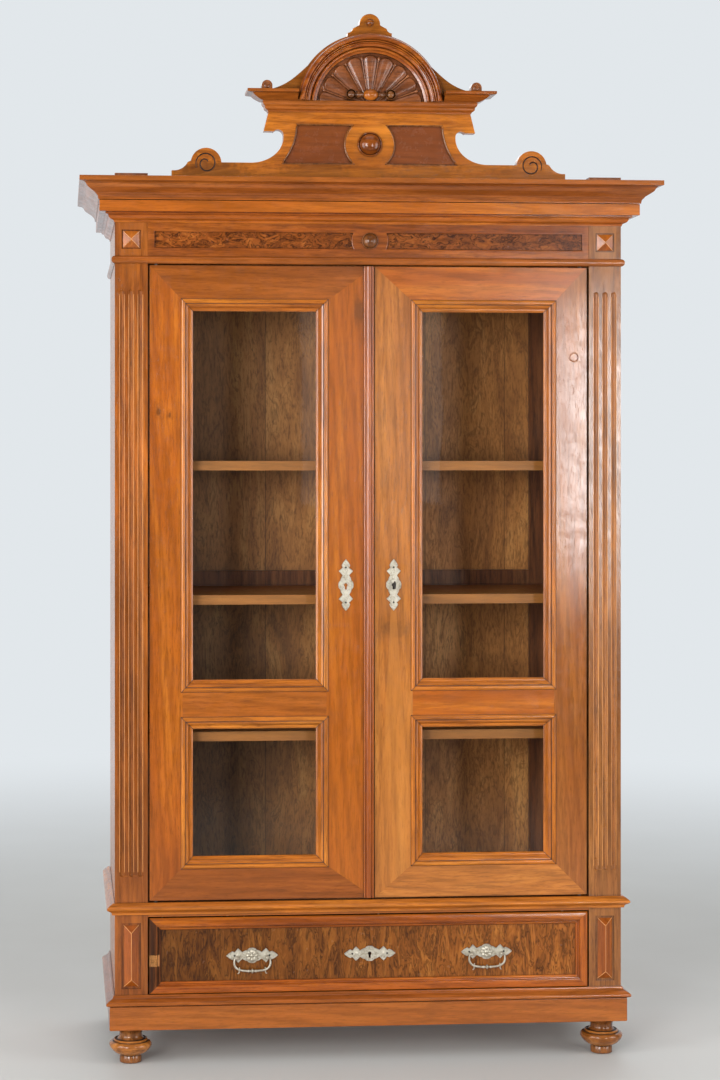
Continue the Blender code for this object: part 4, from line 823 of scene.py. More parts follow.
def make_finishes():
    for axis in "XYZ":
        wood(f"walnut_{axis}", "walnut", axis)
        wood(f"gold_{axis}", "gold_walnut", axis)
        wood(f"oak_{axis}", "oak", axis, gloss=0.45, coat=0.0, streak=1.4)
    for axis in "XY":
        wood(f"brown_{axis}", "brown_walnut", axis)
    figured_oak("figured_oak")
    wood("left_post", "post_walnut", "Z", painted_light_patches=POST_PAINTED_LIGHT)
    wood("right_post", "right_post_sheen_walnut", "Z")
    wood("left_flute", "left_flute", "Z", gloss=0.36, coat=0.0, dirt=0.9, shine=0.12, painted_light_patches=POST_PAINTED_LIGHT)
    wood("right_flute", "right_flute", "Z", gloss=0.30, coat=0.0, dirt=0.9, shine=0.30)
    wood("frame_walnut", "dark_walnut", "Z", gloss=0.45, coat=0.0)
    wood("left_outer_stile", "walnut", "Z", marks=OUTER_MARKS, painted_light_patches=STILE_PAINTED_LIGHT)
    wood("left_inner_stile", "walnut", "Z", marks=INNER_MARKS)
    wood("right_plug", "mauve_sheen_walnut", "Z", gloss=0.12, dirt=0.25)
    wood("right_outer_stile", "mauve_sheen_walnut", "Z", gloss=0.14)
    wood("right_inner_stile", "right_sheen_walnut", "Z", marks=RIGHT_MARKS)
    wood("right_foot_rail", "right_sheen_walnut", "X")
    wood("shelf_oak", "shelf_oak", "X", gloss=0.42, coat=0.0, streak=1.2)
    wood("carved_walnut", "dark_walnut", "X", gloss=0.24, streak=0.5)
    wood("turned_walnut", "turned_walnut", "Z", gloss=0.17)
    wood("boss_walnut", "brown_walnut", "X", gloss=0.15)
    wood("roll_walnut", "dark_walnut", "Y", gloss=0.24)
    wood("panel_walnut", "red_walnut", "X", gloss=0.24, streak=1.4)
    wood("worn_walnut", "worn", "Z", gloss=0.40, coat=0.0, streak=2.6, shine=0.10)
    wood("pale_wood", "pale_wood", "Z", gloss=0.35, coat=0.0)
    # Crest board: painted shade from its dark marks, darkened shoulders and wide recess darkening; its
    # finial made darker.
    wood("crest_walnut", "gold_walnut", "X", reach=0.030, marks=CREST_SHADE_MARKS, painted_light_patches=CREST_DARKENING)
    wood("foot_walnut", "foot_walnut", "X", gloss=0.16, reach=0.022, dirt=0.95)
    # Dark lines: old polish and dark joints, and painted shade in quirks, angles and grooves.
    wood("old_dirt", "dirt", "X", gloss=0.5, coat=0.0)
    burr("burr_frieze", (0.55, 1.0, 1.0), (0.045, 0.012, 0.003), (0.200, 0.050, 0.0080),
         (0.370, 0.108, 0.0170), shade=(1.05, 0.72))
    burr("burr_drawer", (1.0, 1.0, 0.23), (0.060, 0.018, 0.0036), (0.175, 0.053, 0.0080),
         (0.285, 0.100, 0.0160), shade=(0.50, 1.45), vein=0.70, fine=1.65)
    metal("nickel", (0.54, 0.50, 0.41), (0.20, 0.165, 0.11), 0.30, 0.0005)
    metal("iron", (0.060, 0.054, 0.048), (0.020, 0.016, 0.013), 0.42, 0.0004)
    glass("glass")


# Base

# Bands of a turned foot from the floor up: finish, points that stay corners, shares of radius and height
FOOT_BANDS = (
    ("turned_walnut", (1, 2), ((0.46, 0.0), (0.515, 0.02), (0.515, 0.20), (0.50, 0.215))),
    # The dark bands below sit in the foot's quirks: soiling and painted shade.
    ("old_dirt", (), ((0.50, 0.212), (0.55, 0.222), (0.58, 0.236))),
    ("foot_walnut", (), ((0.57, 0.232), (0.66, 0.262), (0.80, 0.315), (0.94, 0.41), (1.0, 0.50),
                         (0.96, 0.57), (0.87, 0.60))),
    ("old_dirt", (), ((0.87, 0.598), (0.81, 0.603), (0.78, 0.612))),
    ("foot_walnut", (1, 2, 3), ((0.79, 0.606), (0.80, 0.64), (0.765, 0.664), (0.72, 0.664), (0.70, 0.65))),
    ("old_dirt", (), ((0.71, 0.65), (0.66, 0.655), (0.61, 0.676))),
    ("turned_walnut", (5, 6), ((0.62, 0.670), (0.56, 0.715), (0.53, 0.77), (0.54, 0.84), (0.60, 0.905),
                               (0.70, 0.96), (0.71, 1.0))),
)


def make_feet():
    for end in ("front", "rear"):
        for side in SIDES:
            name = f"foot_{end}_{side}"
            low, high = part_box(name)
            middle = (low + high) / 2
            size = (high.x - low.x) / 2, high.z - low.z
            shapes = []
            for finish, corners, rows in FOOT_BANDS:
                profile = rounded(scaled(rows, (0, low.z), size), corners)
                shapes.append((turned(profile, (middle.x, middle.y, 0)), finish))
            piece(f"{name}_bun", shapes, [name])


def make_plinth():
    low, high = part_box("plinth_frame")
    inner, near, far = high.x - PLINTH_THICK, low.y + PLINTH_THICK, high.y - PLINTH_THICK
    reach = CORNER_BLOCK - PLINTH_THICK
    front = [(low.x, low.y), (high.x, low.y), (inner, near), (-inner, near)]
    shapes = [(prism(front, "Z", low.z, high.z), "brown_X")]
    for sign in SIDES.values():
        out, within = sign * high.x, sign * inner
        board = [(out, low.y), (out, high.y), (within, high.y), (within, near)]
        shapes.append((prism(board, "Z", low.z, high.z), "brown_Y"))
        for y, step in ((near, 1), (far, -1)):
            corner = [(within, y), (sign * (inner - reach), y), (within, y + step * reach)]
            shapes.append((prism(corner, "Z", low.z, high.z), "oak_Z"))
    shapes.append((block((-inner, far, low.z), (inner, high.y, high.z)), "oak_X"))
    piece("plinth_boards", shapes, ["plinth_frame"], edge=PLINTH_EDGE)


def lengths(profile, half, face, back, timber="walnut"):
    """A moulding round the front and both sides, as three mitred lengths of (out, height) pairs."""
    shapes = []
    ends = [[(sign * (half + out), face - out, z) for out, z in profile] for sign in (-1, 1)]
    shapes.append((skinned(ends), f"{timber}_X"))
    for loop in ends:
        shapes.append((skinned([loop, [(x, back, z) for x, _, z in loop]]), f"{timber}_Y"))
    return shapes


def box_profile(name, shares, corners):
    """A moulding's section from its shares of the node's own height and of how far it stands out."""
    low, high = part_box(name)
    return rounded(scaled(shares, (SEAT, low.z), (high.x - HALF - SEAT, high.z - low.z)), corners, 5)


def make_mouldings():
    base = [(0.0, 1.0), (0.14, 1.0), (0.18, 0.84), (0.30, 0.70), (0.50, 0.60), (0.72, 0.50), (0.90, 0.40),
            (1.0, 0.30), (1.0, 0.14), (0.86, 0.06), (0.70, 0.0), (0.0, 0.0)]
    waist = [(0.0, 1.0), (0.25, 1.0), (0.55, 0.88), (0.82, 0.745), (1.0, 0.61), (1.0, 0.51), (0.88, 0.43),
             (0.70, 0.34), (0.50, 0.27), (0.38, 0.17), (0.34, 0.0), (0.0, 0.0)]
    low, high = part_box("neck_moulding")
    middle, rise = (low.z + high.z) / 2, (high.z - low.z) / 2
    out = high.x - HALF - SEAT
    neck = [(SEAT + out * c, middle + rise * s) for c, s in arc((0, 0), 1.0, -90, 90, 16)]
    sections = (
        ("base_moulding", box_profile("base_moulding", base, (1, 10)), "brown"),
        ("waist_moulding", box_profile("waist_moulding", waist, (1, 10)), "gold"),
        ("neck_moulding", neck, "brown"),
    )
    for name, profile, timber in sections:
        shapes = lengths(profile, HALF, FACE, BACK, timber)
        piece(f"{name}_lengths", shapes, [name], edge=MOULDING_EDGE)


def make_cornice():
    low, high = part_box("cornice_front")
    tall = high.z - low.z
    out = high.x - HALF - CORNICE_FASCIA
    bed = [(0.06, 0.0), (0.10, 0.035), (0.22, 0.06), (0.50, 0.085), (0.66, 0.13), (0.72, 0.175), (1.0, 0.19),
           (1.0, 0.225)]
    fascia = [(0.0, 0.23), (0.0, 0.489)]
    crown = [(0.054, 0.50), (0.075, 0.56), (0.12, 0.60), (0.173, 0.62), (0.22, 0.65), (0.374, 0.696),
             (0.48, 0.728), (0.60, 0.77), (0.67, 0.826), (0.764, 0.87), (1.0, 0.89), (1.0, 1.0)]
    joint = low.z + tall * fascia[1][1]
    lower = [(SEAT, low.z)] + scaled(bed, (SEAT, low.z), (CORNICE_BED, tall))
    lower += scaled(fascia, (CORNICE_FASCIA, low.z), (out, tall)) + [(SEAT, joint)]
    lower = rounded(lower, (1, 6, 7, 8, 9, 10, 11))
    upper = [(SEAT, joint + SEAT / 3)]
    upper += scaled(crown, (CORNICE_FASCIA, low.z), (out, tall)) + [(SEAT, high.z)]
    upper = rounded(upper, (1, 2, 5, 9, 10, 11, 12, 13))
    boards = lengths(lower, HALF, FACE, BACK), lengths(upper, HALF, FACE, BACK, "brown")
    for name, *shapes in zip(("front", "left", "right"), *boards):
        piece(f"cornice_{name}_length", shapes, [f"cornice_{name}"], edge=MOULDING_EDGE)


# Case

def capsule(x, radius, centre_y, low, high):
    """A round-ended upright bar, the tool that cuts a flute."""
    profile = arc((0, low + radius), radius, -90, 0, 10) + arc((0, high - radius), radius, 0, 90, 10)
    profile[0] = (0, profile[0][1])
    profile[-1] = (0, profile[-1][1])
    return second_finish(turned(profile, (x, centre_y, 0), sides=48))


def worn_highlight_line(start, end, across):
    """A pale line along an edge: wear and painted highlight."""
    return tube((start, end), (WORN_HIGHLIGHT_HALF, WORN_HIGHLIGHT_HALF), across, sides=8), "pale_wood"


def flute_edges(centre):
    """Pale lines of wear and painted highlight along the flutes' straight edges."""
    shapes = []
    low, high = Z_DOORS + FLUTE_END + FLUTE_WIDTH, Z_NECK - FLUTE_END - FLUTE_WIDTH
    for step in (-1, 0, 1):
        for sign in (-1, 1):
            x = centre + step * FLUTE_PITCH + sign * FLUTE_WIDTH / 2
            y = FACE + WORN_HIGHLIGHT_HALF / 2
            shapes.append(worn_highlight_line((x, y, low), (x, y, high), (0, 1, 0)))
    return shapes


def ridge_ends(x, z, wide, tall, floor, rise):
    """Both ends of a hipped block's ridge, which lies along its longer side."""
    ridge = max((tall - wide) / 2, RIDGE_LEAST)
    return [Vector((x, floor - rise, z + end * ridge)) for end in (-1, 1)]


def hipped(x, z, wide, tall, floor, rise):
    """A hipped block on a sunk field."""
    bm = bmesh.new()
    rows = []
    for y in (floor + FIELD_SINK / 2, floor - HIP_FOOT):
        signs = ((-1, -1), (1, -1), (1, 1), (-1, 1))
        rows.append([bm.verts.new((x + a * wide / 2, y, z + b * tall / 2)) for a, b in signs])
    low, high = (bm.verts.new(end) for end in ridge_ends(x, z, wide, tall, floor, rise))
    for i in range(4):
        bm.faces.new((rows[0][i - 1], rows[0][i], rows[1][i], rows[1][i - 1]))
    bm.faces.new(rows[0])
    sw, se, ne, nw = rows[1]
    for corners in ((sw, se, low), (se, ne, high, low), (ne, nw, high), (nw, sw, low, high)):
        bm.faces.new(corners)
    bmesh.ops.recalc_face_normals(bm, faces=bm.faces)
    return bm


def arrises(x, z, wide, tall, floor, rise):
    """Pale lines of wear and painted highlight along the ridge and the hips of a hipped block."""
    low, high = ridge_ends(x, z, wide, tall, floor, rise)
    lines = [(low, high)]
    for a in (-1, 1):
        for b, end in ((-1, low), (1, high)):
            lines.append((Vector((x + a * wide / 2, floor - HIP_FOOT, z + b * tall / 2)), end))
    shapes = []
    for start, end in lines:
        across = (end - start).cross(Vector((0, 1, 0))).normalized()
        shapes.append(worn_highlight_line(start, end, across))
    return shapes


def make_posts():
    radius = (FLUTE_WIDTH ** 2 / 4 + FLUTE_DEPTH ** 2) / (2 * FLUTE_DEPTH)
    floor = FACE + FIELD_SINK
    hip_z = (Z_FLOOR + Z_WAIST) / 2
    hip_tall = Z_WAIST - Z_FLOOR - 2 * HIP_MARGIN
    half_field = STUD_FIELD / 2
    foot, head = Z_DOORS + FLUTE_END, Z_NECK - FLUTE_END
    for side in SIDES:
        low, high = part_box(f"post_{side}")
        low.y = FACE
        centre = (low.x + high.x) / 2
        tools = [capsule(centre + step * FLUTE_PITCH, radius, FACE + FLUTE_DEPTH - radius, foot, head)
                 for step in (-1, 0, 1)]
        for z, half_z in ((Z_BURR, half_field), (hip_z, hip_tall / 2)):
            tools.append(block((centre - half_field, FACE - FIELD_SINK, z - half_z),
                               (centre + half_field, floor, z + half_z)))
        cap = block((low.x, low.y, Z_TOP), high)
        high = Vector((high.x, high.y, Z_TOP))
        shapes = [(cut(block(low, high), *tools), (f"{side}_post", f"{side}_flute")), (cap, "roll_walnut")]
        shapes += flute_edges(centre)
        for place in ((Z_BURR, STUD_SIZE, STUD_SIZE, floor, STUD_RISE),
                      (hip_z, HIP_WIDE, hip_tall - STUD_FIELD + HIP_WIDE, floor, HIP_RISE)):
            shapes.append((hipped(centre, *place), "walnut_Z"))
            shapes += arrises(centre, *place)
        piece(f"post_{side}_fluted", shapes, [f"post_{side}"], edge=POST_EDGE, angle=24)


def dome(radius, rise, centre, lip=0.25):
    """A turned button with a raised ring and a quirk round its dome, facing forward."""
    base = rise * lip
    ring_rows = ((1.0, 0.0), (1.0, -0.8), (0.965, -1.15), (0.90, -1.1), (0.875, -0.7))
    profile = scaled(ring_rows, (0, 0), (radius, base))
    top = [(radius * 0.86 * math.cos(turn), -base * 0.7 - (rise - base * 0.7) * math.sin(turn))
           for turn in [math.radians(90 * i / 14) for i in range(14)]]
    return turned(rounded(profile, (1, 4)) + top + [(0, -rise)], centre, axis="Y")


def make_boss(name, z, finish):
    low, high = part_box(name)
    shape = dome((high.x - low.x) / 2, high.y - low.y, (0, high.y, z))
    piece(f"{name}_turned", [(shape, finish)], [name])


def make_frieze():
    low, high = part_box("frieze_board")
    reach, half = POST_IN - BURR_END + BURR_LAP, BURR_HEIGHT / 2
    tools = [block((-reach, low.y + BURR_SINK, Z_BURR - half - BURR_LAP),
                   (reach, high.y + BURR_SINK, Z_BURR + half + BURR_LAP))]
    swing = math.degrees(math.asin(half / BOSS_DISC))
    for sign in SIDES.values():
        outline = arc((0, Z_BURR), BOSS_DISC, -swing, swing, 24)
        outline += [(POST_IN - BURR_END, Z_BURR + half), (POST_IN - BURR_END, Z_BURR - half)]
        outline = [(sign * x, z) for x, z in outline]
        tools.append(chamfered_hole(outline, low.y, FRIEZE_THICK / 2, BURR_CHAMFER))
    piece("frieze_rails", [(cut(block(low, high), *tools), "brown_X")], ["frieze_board"], edge=FRIEZE_EDGE)
    make_boss("frieze_boss", Z_BURR, "turned_walnut")


# Crest

def crest_outline():
    """Right half of the crest board, from the foot's end to the top of the finial."""
    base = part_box("crest_board")[0].z
    foot = base + CREST_FOOT
    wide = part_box("crest_board")[1].x
    points = [(wide, base), (wide, foot)]
    points += arc((wide - FOOT_STEP, foot + SCROLL_RADIUS), SCROLL_RADIUS, 270, 207, 14)
    points += [(points[-1][0] - FOOT_STEP, points[-1][1] + FOOT_STEP / 2)]
    points += arc((SCROLL_AT, base + SCROLL_UP), SCROLL_RADIUS, 8, 176, 36)
    ramp_z, ear = base + RAMP_HEIGHT, base + EAR_LOW
    hook = ear - HOOK_RADIUS * 0.7
    points += [(SCROLL_AT - SCROLL_RADIUS, ramp_z)]
    for i in range(25):
        turn = math.radians(90 * i / 24)
        x = HOLLOW_HALF - (HOLLOW_HALF - WAIST_HALF) * math.sin(turn)
        points.append((x, ramp_z + (hook - HOOK_RADIUS / 4 - ramp_z) * (1 - math.cos(turn))))
    points += arc((WAIST_HALF + HOOK_RADIUS, hook), HOOK_RADIUS, 175, 40, 14)
    points += [(WAIST_HALF + 2 * HOOK_RADIUS, ear), (EAR_HALF, ear), (NECK_HALF, Z_LEDGE)]
    points += [(NECK_HALF, Z_ARCH_FOOT + LEDGE_CROWN)]
    for degrees in range(10, 67, 2):
        x, z = polar(ARCH_BOARD + FLANK_FLARE * max(FLANK_TURN / degrees - 1, 0), math.radians(degrees))
        points.append((x, Z_ARCH + z))
    brow = math.acos(FINIAL_BASE / ARCH_BOARD)
    return points + finial_outline(Z_ARCH + ARCH_BOARD * math.sin(brow))


def finial_outline(foot):
    """Right half of the finial: a step, a hollow, a small step and a round head."""
    head = Z_TOP + FINIAL_TOP - FINIAL_RADIUS
    hollow = head - foot - 2 * FINIAL_STEP
    points = [(FINIAL_BASE, foot), (FINIAL_BASE, foot + FINIAL_STEP)]
    points += arc((FINIAL_BASE, foot + FINIAL_STEP + hollow), hollow, 262, 190, 12)
    points += [(FINIAL_RADIUS + FINIAL_STEP / 2, head - FINIAL_STEP / 2)]
    return points + arc((0, head), FINIAL_RADIUS, -4, 90, 20)


def spiral(sign):
    """The groove of a volute, wound in towards its eye, whose faces take the dark line finish as painted
    shade.
    """
    centre_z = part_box("crest_board")[0].z + SCROLL_UP
    route, radii = [], []
    count = 72
    for i in range(count + 1):
        share = i / count
        turn = math.radians(SPIRAL_START) + 2 * math.pi * SPIRAL_TURNS * share
        radius = SPIRAL_OUT * (1 - 0.35 * share - 0.43 * share ** 3)
        x, z = polar(radius, turn)
        route.append((sign * (SCROLL_AT + x), CREST_FACE, centre_z + z))
        radii.append(SPIRAL_GROOVE * (0.55 + 0.45 * min(1, 6 * share, 8 * (1 - share) + 0.5)))
    return second_finish(tube(route, radii, (0, 1, 0), sides=10))


def panel_outline(sign):
    """Edge of a sunk field of the crest between its outer edge and the boss."""
    low, high = Z_TOP + PANEL_LOW, Z_TOP + PANEL_HIGH
    centre = (0, Z_TOP + BOSS_UP)
    swing = [math.degrees(math.asin((z - centre[1]) / PANEL_ROUND)) for z in (low, high)]
    outline = arc(centre, PANEL_ROUND, swing[0], swing[1], 28)
    for i in range(19):
        share = i / 18
        outline.append((WAIST_HALF - PANEL_MARGIN + PANEL_MARGIN * share ** 2, high + (low - high) * share))
    return [(sign * x, z) for x, z in outline]


def panel_bead(sign):
    """The thin bead in the corner round a sunk field."""
    y = CREST_FACE + PANEL_SINK - PANEL_BEAD
    route = [(x, y, z) for x, z in grown(panel_outline(sign), -PANEL_BEAD)]
    return tube(route, [PANEL_BEAD] * len(route), (0, 1, 0), sides=10, closed=True)


def make_crest_board():
    board = prism(mirrored(crest_outline()), "Y", CREST_FACE, CREST_REAR)
    reach = WAIST_HALF + PANEL_LAP
    low, high = Z_TOP + PANEL_LOW - PANEL_LAP, Z_TOP + PANEL_HIGH + PANEL_LAP
    groove = [(reach, low), (reach - PANEL_MARGIN / 2, high)]
    groove += [(-x, z) for x, z in reversed(groove)]
    tools = [prism(groove, "Y", CREST_FACE + PANEL_SINK, CREST_REAR + PANEL_SINK)]
    for sign in SIDES.values():
        tools.append(chamfered_hole(panel_outline(sign), CREST_FACE, 2 * PANEL_SINK, PANEL_CHAMFER))
    tools += [spiral(sign) for sign in SIDES.values()]
    # The volutes' grooves get the second, dark finish: painted shade.
    shapes = [(cut(board, *tools), ("crest_walnut", "old_dirt"))]
    shapes += [(panel_bead(sign), "turned_walnut") for sign in SIDES.values()]
    button = (0, CREST_FACE + SEAT, Z_TOP + FINIAL_TOP - FINIAL_RADIUS + BUTTON_UP)
    shapes.append((dome(BUTTON_RADIUS, BUTTON_RISE, button), "boss_walnut"))
    piece("crest_board_carved", shapes, ["crest_board"], edge=CREST_EDGE)


def make_crest_cornice():
    """Crest's own cornice, broken by the arch, with a roll on each end."""
    ledge = [(0.0, 0.0), (0.1, 0.0), (0.18, 0.14), (0.45, 0.22), (0.62, 0.34), (0.64, 0.52), (0.86, 0.62),
             (1.0, 0.78), (1.0, 1.0), (0.0, 1.0)]
    crown = [(0.10, 0.0), (0.30, 0.16), (0.52, 0.40), (0.66, 0.62), (0.94, 0.68), (1.0, 0.74), (1.0, 1.0)]
    line = rounded(scaled(ledge, (SEAT, Z_LEDGE), (LEDGE_OUT, LEDGE_HEIGHT)), (1, 5, 8), 5)
    shapes = lengths(line, NECK_HALF, CREST_FACE, CREST_REAR, "brown")
    step = LEDGE_CROWN_OUT - LEDGE_OUT
    shoulder = Z_ARCH_FOOT + LEDGE_CROWN
    section = [(SEAT, Z_ARCH_FOOT)]
    section += scaled(crown, (LEDGE_OUT, Z_ARCH_FOOT), (step, LEDGE_CROWN))
    section = rounded(section + [(SEAT, shoulder)], (1, 4, 7), 5)
    rim = ARCH_OUTER + SEAT
    for sign in SIDES.values():
        mitre = [(sign * (NECK_HALF + out), CREST_FACE - out, z) for out, z in section]
        inner = [(sign * rim, CREST_FACE - out, z) for out, z in section]
        rear = [(x, CREST_REAR, z) for x, _, z in mitre]
        shapes += [(skinned([inner, mitre]), "brown_X"), (skinned([mitre, rear]), "brown_Y")]
        roll = arc((sign * KNOB_AT, shoulder + KNOB_UP), KNOB_RADIUS, 0, 180, 24)
        roll += [(sign * KNOB_AT - KNOB_RADIUS, shoulder), (sign * KNOB_AT + KNOB_RADIUS, shoulder)]
        front = CREST_FACE - LEDGE_OUT - KNOB_LONG
        shapes.append((prism(roll, "Y", front, CREST_FACE - LEDGE_OUT), "roll_walnut"))
        eye = (sign * KNOB_AT, front + SEAT, shoulder + KNOB_UP)
        shapes.append((dome(KNOB_RADIUS * 0.62, KNOB_RADIUS * 0.14, eye), "roll_walnut"))
    piece("crest_cornice_lengths", shapes, ["crest_cornice"], edge=MOULDING_EDGE)


def make_arch():
    rows = [(1.0, 0.0), (1.0, 0.56), (0.93, 0.60), (0.93, 0.74), (0.90, 0.86), (0.82, 0.98), (0.72, 1.0),
            (0.66, 0.90), (0.655, 0.78), (0.62, 0.84), (0.58, 0.83), (0.55, 0.72), (0.515, 0.77),
            (0.475, 0.75), (0.45, 0.62), (0.40, 0.60), (0.33, 0.52), (0.28, 0.40), (0.27, 0.52),
            (0.21, 0.58), (0.14, 0.54), (0.115, 0.40), (0.0, 0.34), (0.0, 0.0)]
    section = rounded(scaled(rows, (ARCH_INNER, SEAT), (ARCH_OUTER - ARCH_INNER, ARCH_OUT)),
                      (1, 2, 3, 7, 8, 11, 14, 15, 17, 18, 21, 22), 4)
    loops = []
    for i in range(ARCH_STEPS + 1):
        turn = math.pi * i / ARCH_STEPS
        loops.append([(radius * math.cos(turn), CREST_FACE - out, Z_ARCH + radius * math.sin(turn))
                      for radius, out in section])
    shape = trimmed(skinned(loops), Z_ARCH_FOOT + SEAT)
    piece("crest_arch_rings", [(shape, "walnut_X")], ["crest_arch"])


def shell_height(share, across):
    """Rise of a petal at a share of the shell's radius and a place across it, -1 to 1."""
    petal_end = PETAL_END - PETAL_ROUND * across ** 2
    past = (share - petal_end) / PETAL_FALL
    crown = SHELL_RISE * (0.36 + 0.56 * share) - SHELL_GROOVE * share ** 0.5 * abs(across) ** 2.6
    fall = min(1.0, max(0.0, past)) ** 0.7
    return crown + (SHELL_RISE * 0.38 - crown) * fall


def shell_fan(radius, back):
    """Nine broad petals round the arch's centre, closed behind by a flat."""
    shares = [0.10 + 0.72 * i / 14 for i in range(14)] + [0.82 + 0.18 * i / 24 for i in range(25)]
    across_steps = 18
    loops = []
    for column in range(SHELL_LOBES * across_steps + 1):
        turn = math.pi * column / (SHELL_LOBES * across_steps)
        across = 2 * (column % across_steps) / across_steps - 1
        loop = [(0.0, back, Z_ARCH)]
        for share in shares:
            x, z = polar(share * radius, turn)
            loop.append((x, back - shell_height(share, across), Z_ARCH + z))
        x, z = polar(radius, turn)
        loop.append((x, back, Z_ARCH + z))
        loops.append(loop)
    bm = skinned(loops)
    bmesh.ops.remove_doubles(bm, verts=bm.verts, dist=1e-6)
    bmesh.ops.dissolve_degenerate(bm, edges=bm.edges, dist=1e-7)
    bmesh.ops.recalc_face_normals(bm, faces=bm.faces)
    return trimmed(bm, Z_ARCH_FOOT + SEAT)


def shell_rib(radius, back, turn):
    """A thin stick between two petals that ends in a small bulb near the ring."""
    start, end, bulb_at, count = 0.17, 0.945, 0.905, 40
    route, radii = [], []
    for i in range(count + 1):
        share = start + (end - start) * i / count
        x, z = polar(share * radius, turn)
        route.append((x, back - SHELL_RISE * (0.30 + 0.54 * share) + RIB_RADIUS, Z_ARCH + z))
        bulb = max(0.0, 1 - ((share - bulb_at) / (end - bulb_at)) ** 2) ** 0.5
        stick = RIB_RADIUS * (0.55 + 0.35 * share) * (share < bulb_at)
        radii.append(max(stick, RIB_RADIUS * 1.5 * bulb, RIB_TIP))
    return tube(route, radii, (math.sin(turn), 0, -math.cos(turn)), sides=14)


def make_shell():
    radius, back = ARCH_INNER - 2 * SEAT, CREST_FACE - SEAT
    shapes = [(shell_fan(radius, back), "carved_walnut")]
    for lobe in range(1, SHELL_LOBES):
        shapes.append((shell_rib(radius, back, math.pi * lobe / SHELL_LOBES), "carved_walnut"))
    centre = (0, CREST_FACE - BAR_RADIUS - 4 * SEAT, Z_ARCH_FOOT + BAR_RADIUS + 4 * SEAT)
    rows = [(0.30, 0.78), (0.38, 0.66), (0.56, 0.54), (0.40, 0.43), (0.36, 0.36), (0.40, 0.33)]
    arm = rounded([(share * BAR_RADIUS, along * BAR_HALF) for share, along in rows], (4,))
    egg = [(across * BAR_RADIUS, along * BAR_HALF * 0.33) for along, across in arc((0, 0), 1.0, 14, 166, 24)]
    shapes.append((turned(egg, centre, axis="X"), "gold_X"))
    for sign in SIDES.values():
        profile = [(across, sign * along) for across, along in arm]
        shapes.append((turned(profile, centre, axis="X"), "turned_walnut"))
    for sign in SIDES.values():
        place = (sign * BAR_HALF * 0.86, centre[1] + BAR_RADIUS * 0.9, centre[2])
        shapes.append((dome(BAR_RADIUS * 0.90, BAR_RADIUS * 1.75, place, lip=0.80), "turned_walnut"))
    piece("crest_shell_carved", shapes, ["crest_shell"], angle=60)


def make_crest():
    make_crest_board()
    make_crest_cornice()
    make_arch()
    make_shell()
    low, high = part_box("crest_boss")
    make_boss("crest_boss", ((low + high) / 2).z, "boss_walnut")


# Doors

def bead_profile():
    """Glazing moulding: a lap on the frame, a bead, a hollow and a thin edge at the glass."""
    drop = BEAD_DEPTH + BEAD_OUT
    rows = [(0.0, 0.80), (0.10, 1.0), (0.30, 1.0), (0.36, 0.82), (0.44, 0.80), (0.56, 0.72), (0.68, 0.50),
            (0.74, 0.36), (0.86, 0.34), (1.0, 0.20), (1.0, 0.0)]
    front = rounded(scaled(rows, (0.0, -BEAD_DEPTH), (BEAD_WIDTH, drop)), (3, 7, 9), 5)
    return [(0.0, -SEAT), *front, (BEAD_LAP, -BEAD_DEPTH), (BEAD_LAP, -SEAT)]


def bead_lines():
    """Old polish and painted shade as dark lines in the angle outside the glazing moulding and in its quirk.
    """
    drop = BEAD_DEPTH + BEAD_OUT
    quirk = 0.40 * BEAD_WIDTH, 0.80 * drop - BEAD_DEPTH
    for inward, out in ((0.0, 0.0), quirk):
        yield [(inward - LINE, out - LINE), (inward - LINE, out + LINE / 2), (inward + LINE, out + LINE / 2),
               (inward + LINE, out - LINE)]


def mitre_lines(low, high, face):
    """Dark joints across the glazing moulding at its four corners."""
    front = bead_profile()[1:-3]
    shapes = []
    for x, turn_x in ((low[0], 1), (high[0], -1)):
        for z, turn_z in ((low[1], 1), (high[1], -1)):
            route = [(x + turn_x * inward, face - out, z + turn_z * inward) for inward, out in front]
            across = Vector((turn_z, 0, -turn_x)).normalized()
            shapes.append((tube(route, [LINE] * len(route), across, sides=6), "old_dirt"))
    return shapes


def frame_lengths(profile, low, high, face, finishes):
    """A moulding round a rectangle that faces forward, as four mitred lengths with their own grain."""
    corners = []
    for x_end, z_end in ((0, 0), (1, 0), (1, 1), (0, 1)):
        corners.append([(high[0] - inward if x_end else low[0] + inward, face - out,
                         high[1] - inward if z_end else low[1] + inward) for inward, out in profile])
    return [(skinned([corners[i - 1], corners[i]]), finishes[i % 2]) for i in range(4)]


def door_light(low, high, face):
    """Glazing moulding round one light, in pale gold walnut that partly stands for its highlight, with old
    polish and painted shade in its angles and old polish at its mitres.
    """
    # Gold walnut: the timber's colour, paler in part as painted highlight.
    shapes = frame_lengths(bead_profile(), low, high, face, ("gold_Z", "gold_X"))
    for line in bead_lines():
        shapes += frame_lengths(line, low, high, face, ("old_dirt", "old_dirt"))
    return shapes + mitre_lines(low, high, face)


def keyhole(centre, low, high):
    """Round top and straight slot below, cut through along Y."""
    x, z = centre
    slot = KEYHOLE_RADIUS * 0.55
    outline = arc((x, z), KEYHOLE_RADIUS, -57, 237, 28)
    outline += [(x - slot, z - KEYHOLE_DROP), (x + slot, z - KEYHOLE_DROP)]
    return prism(outline, "Y", low, high)


def middle_of(name):
    """Middle of a frame node as seen from the front: x and height."""
    low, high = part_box(name)
    return (low.x + high.x) / 2, (low.z + high.z) / 2


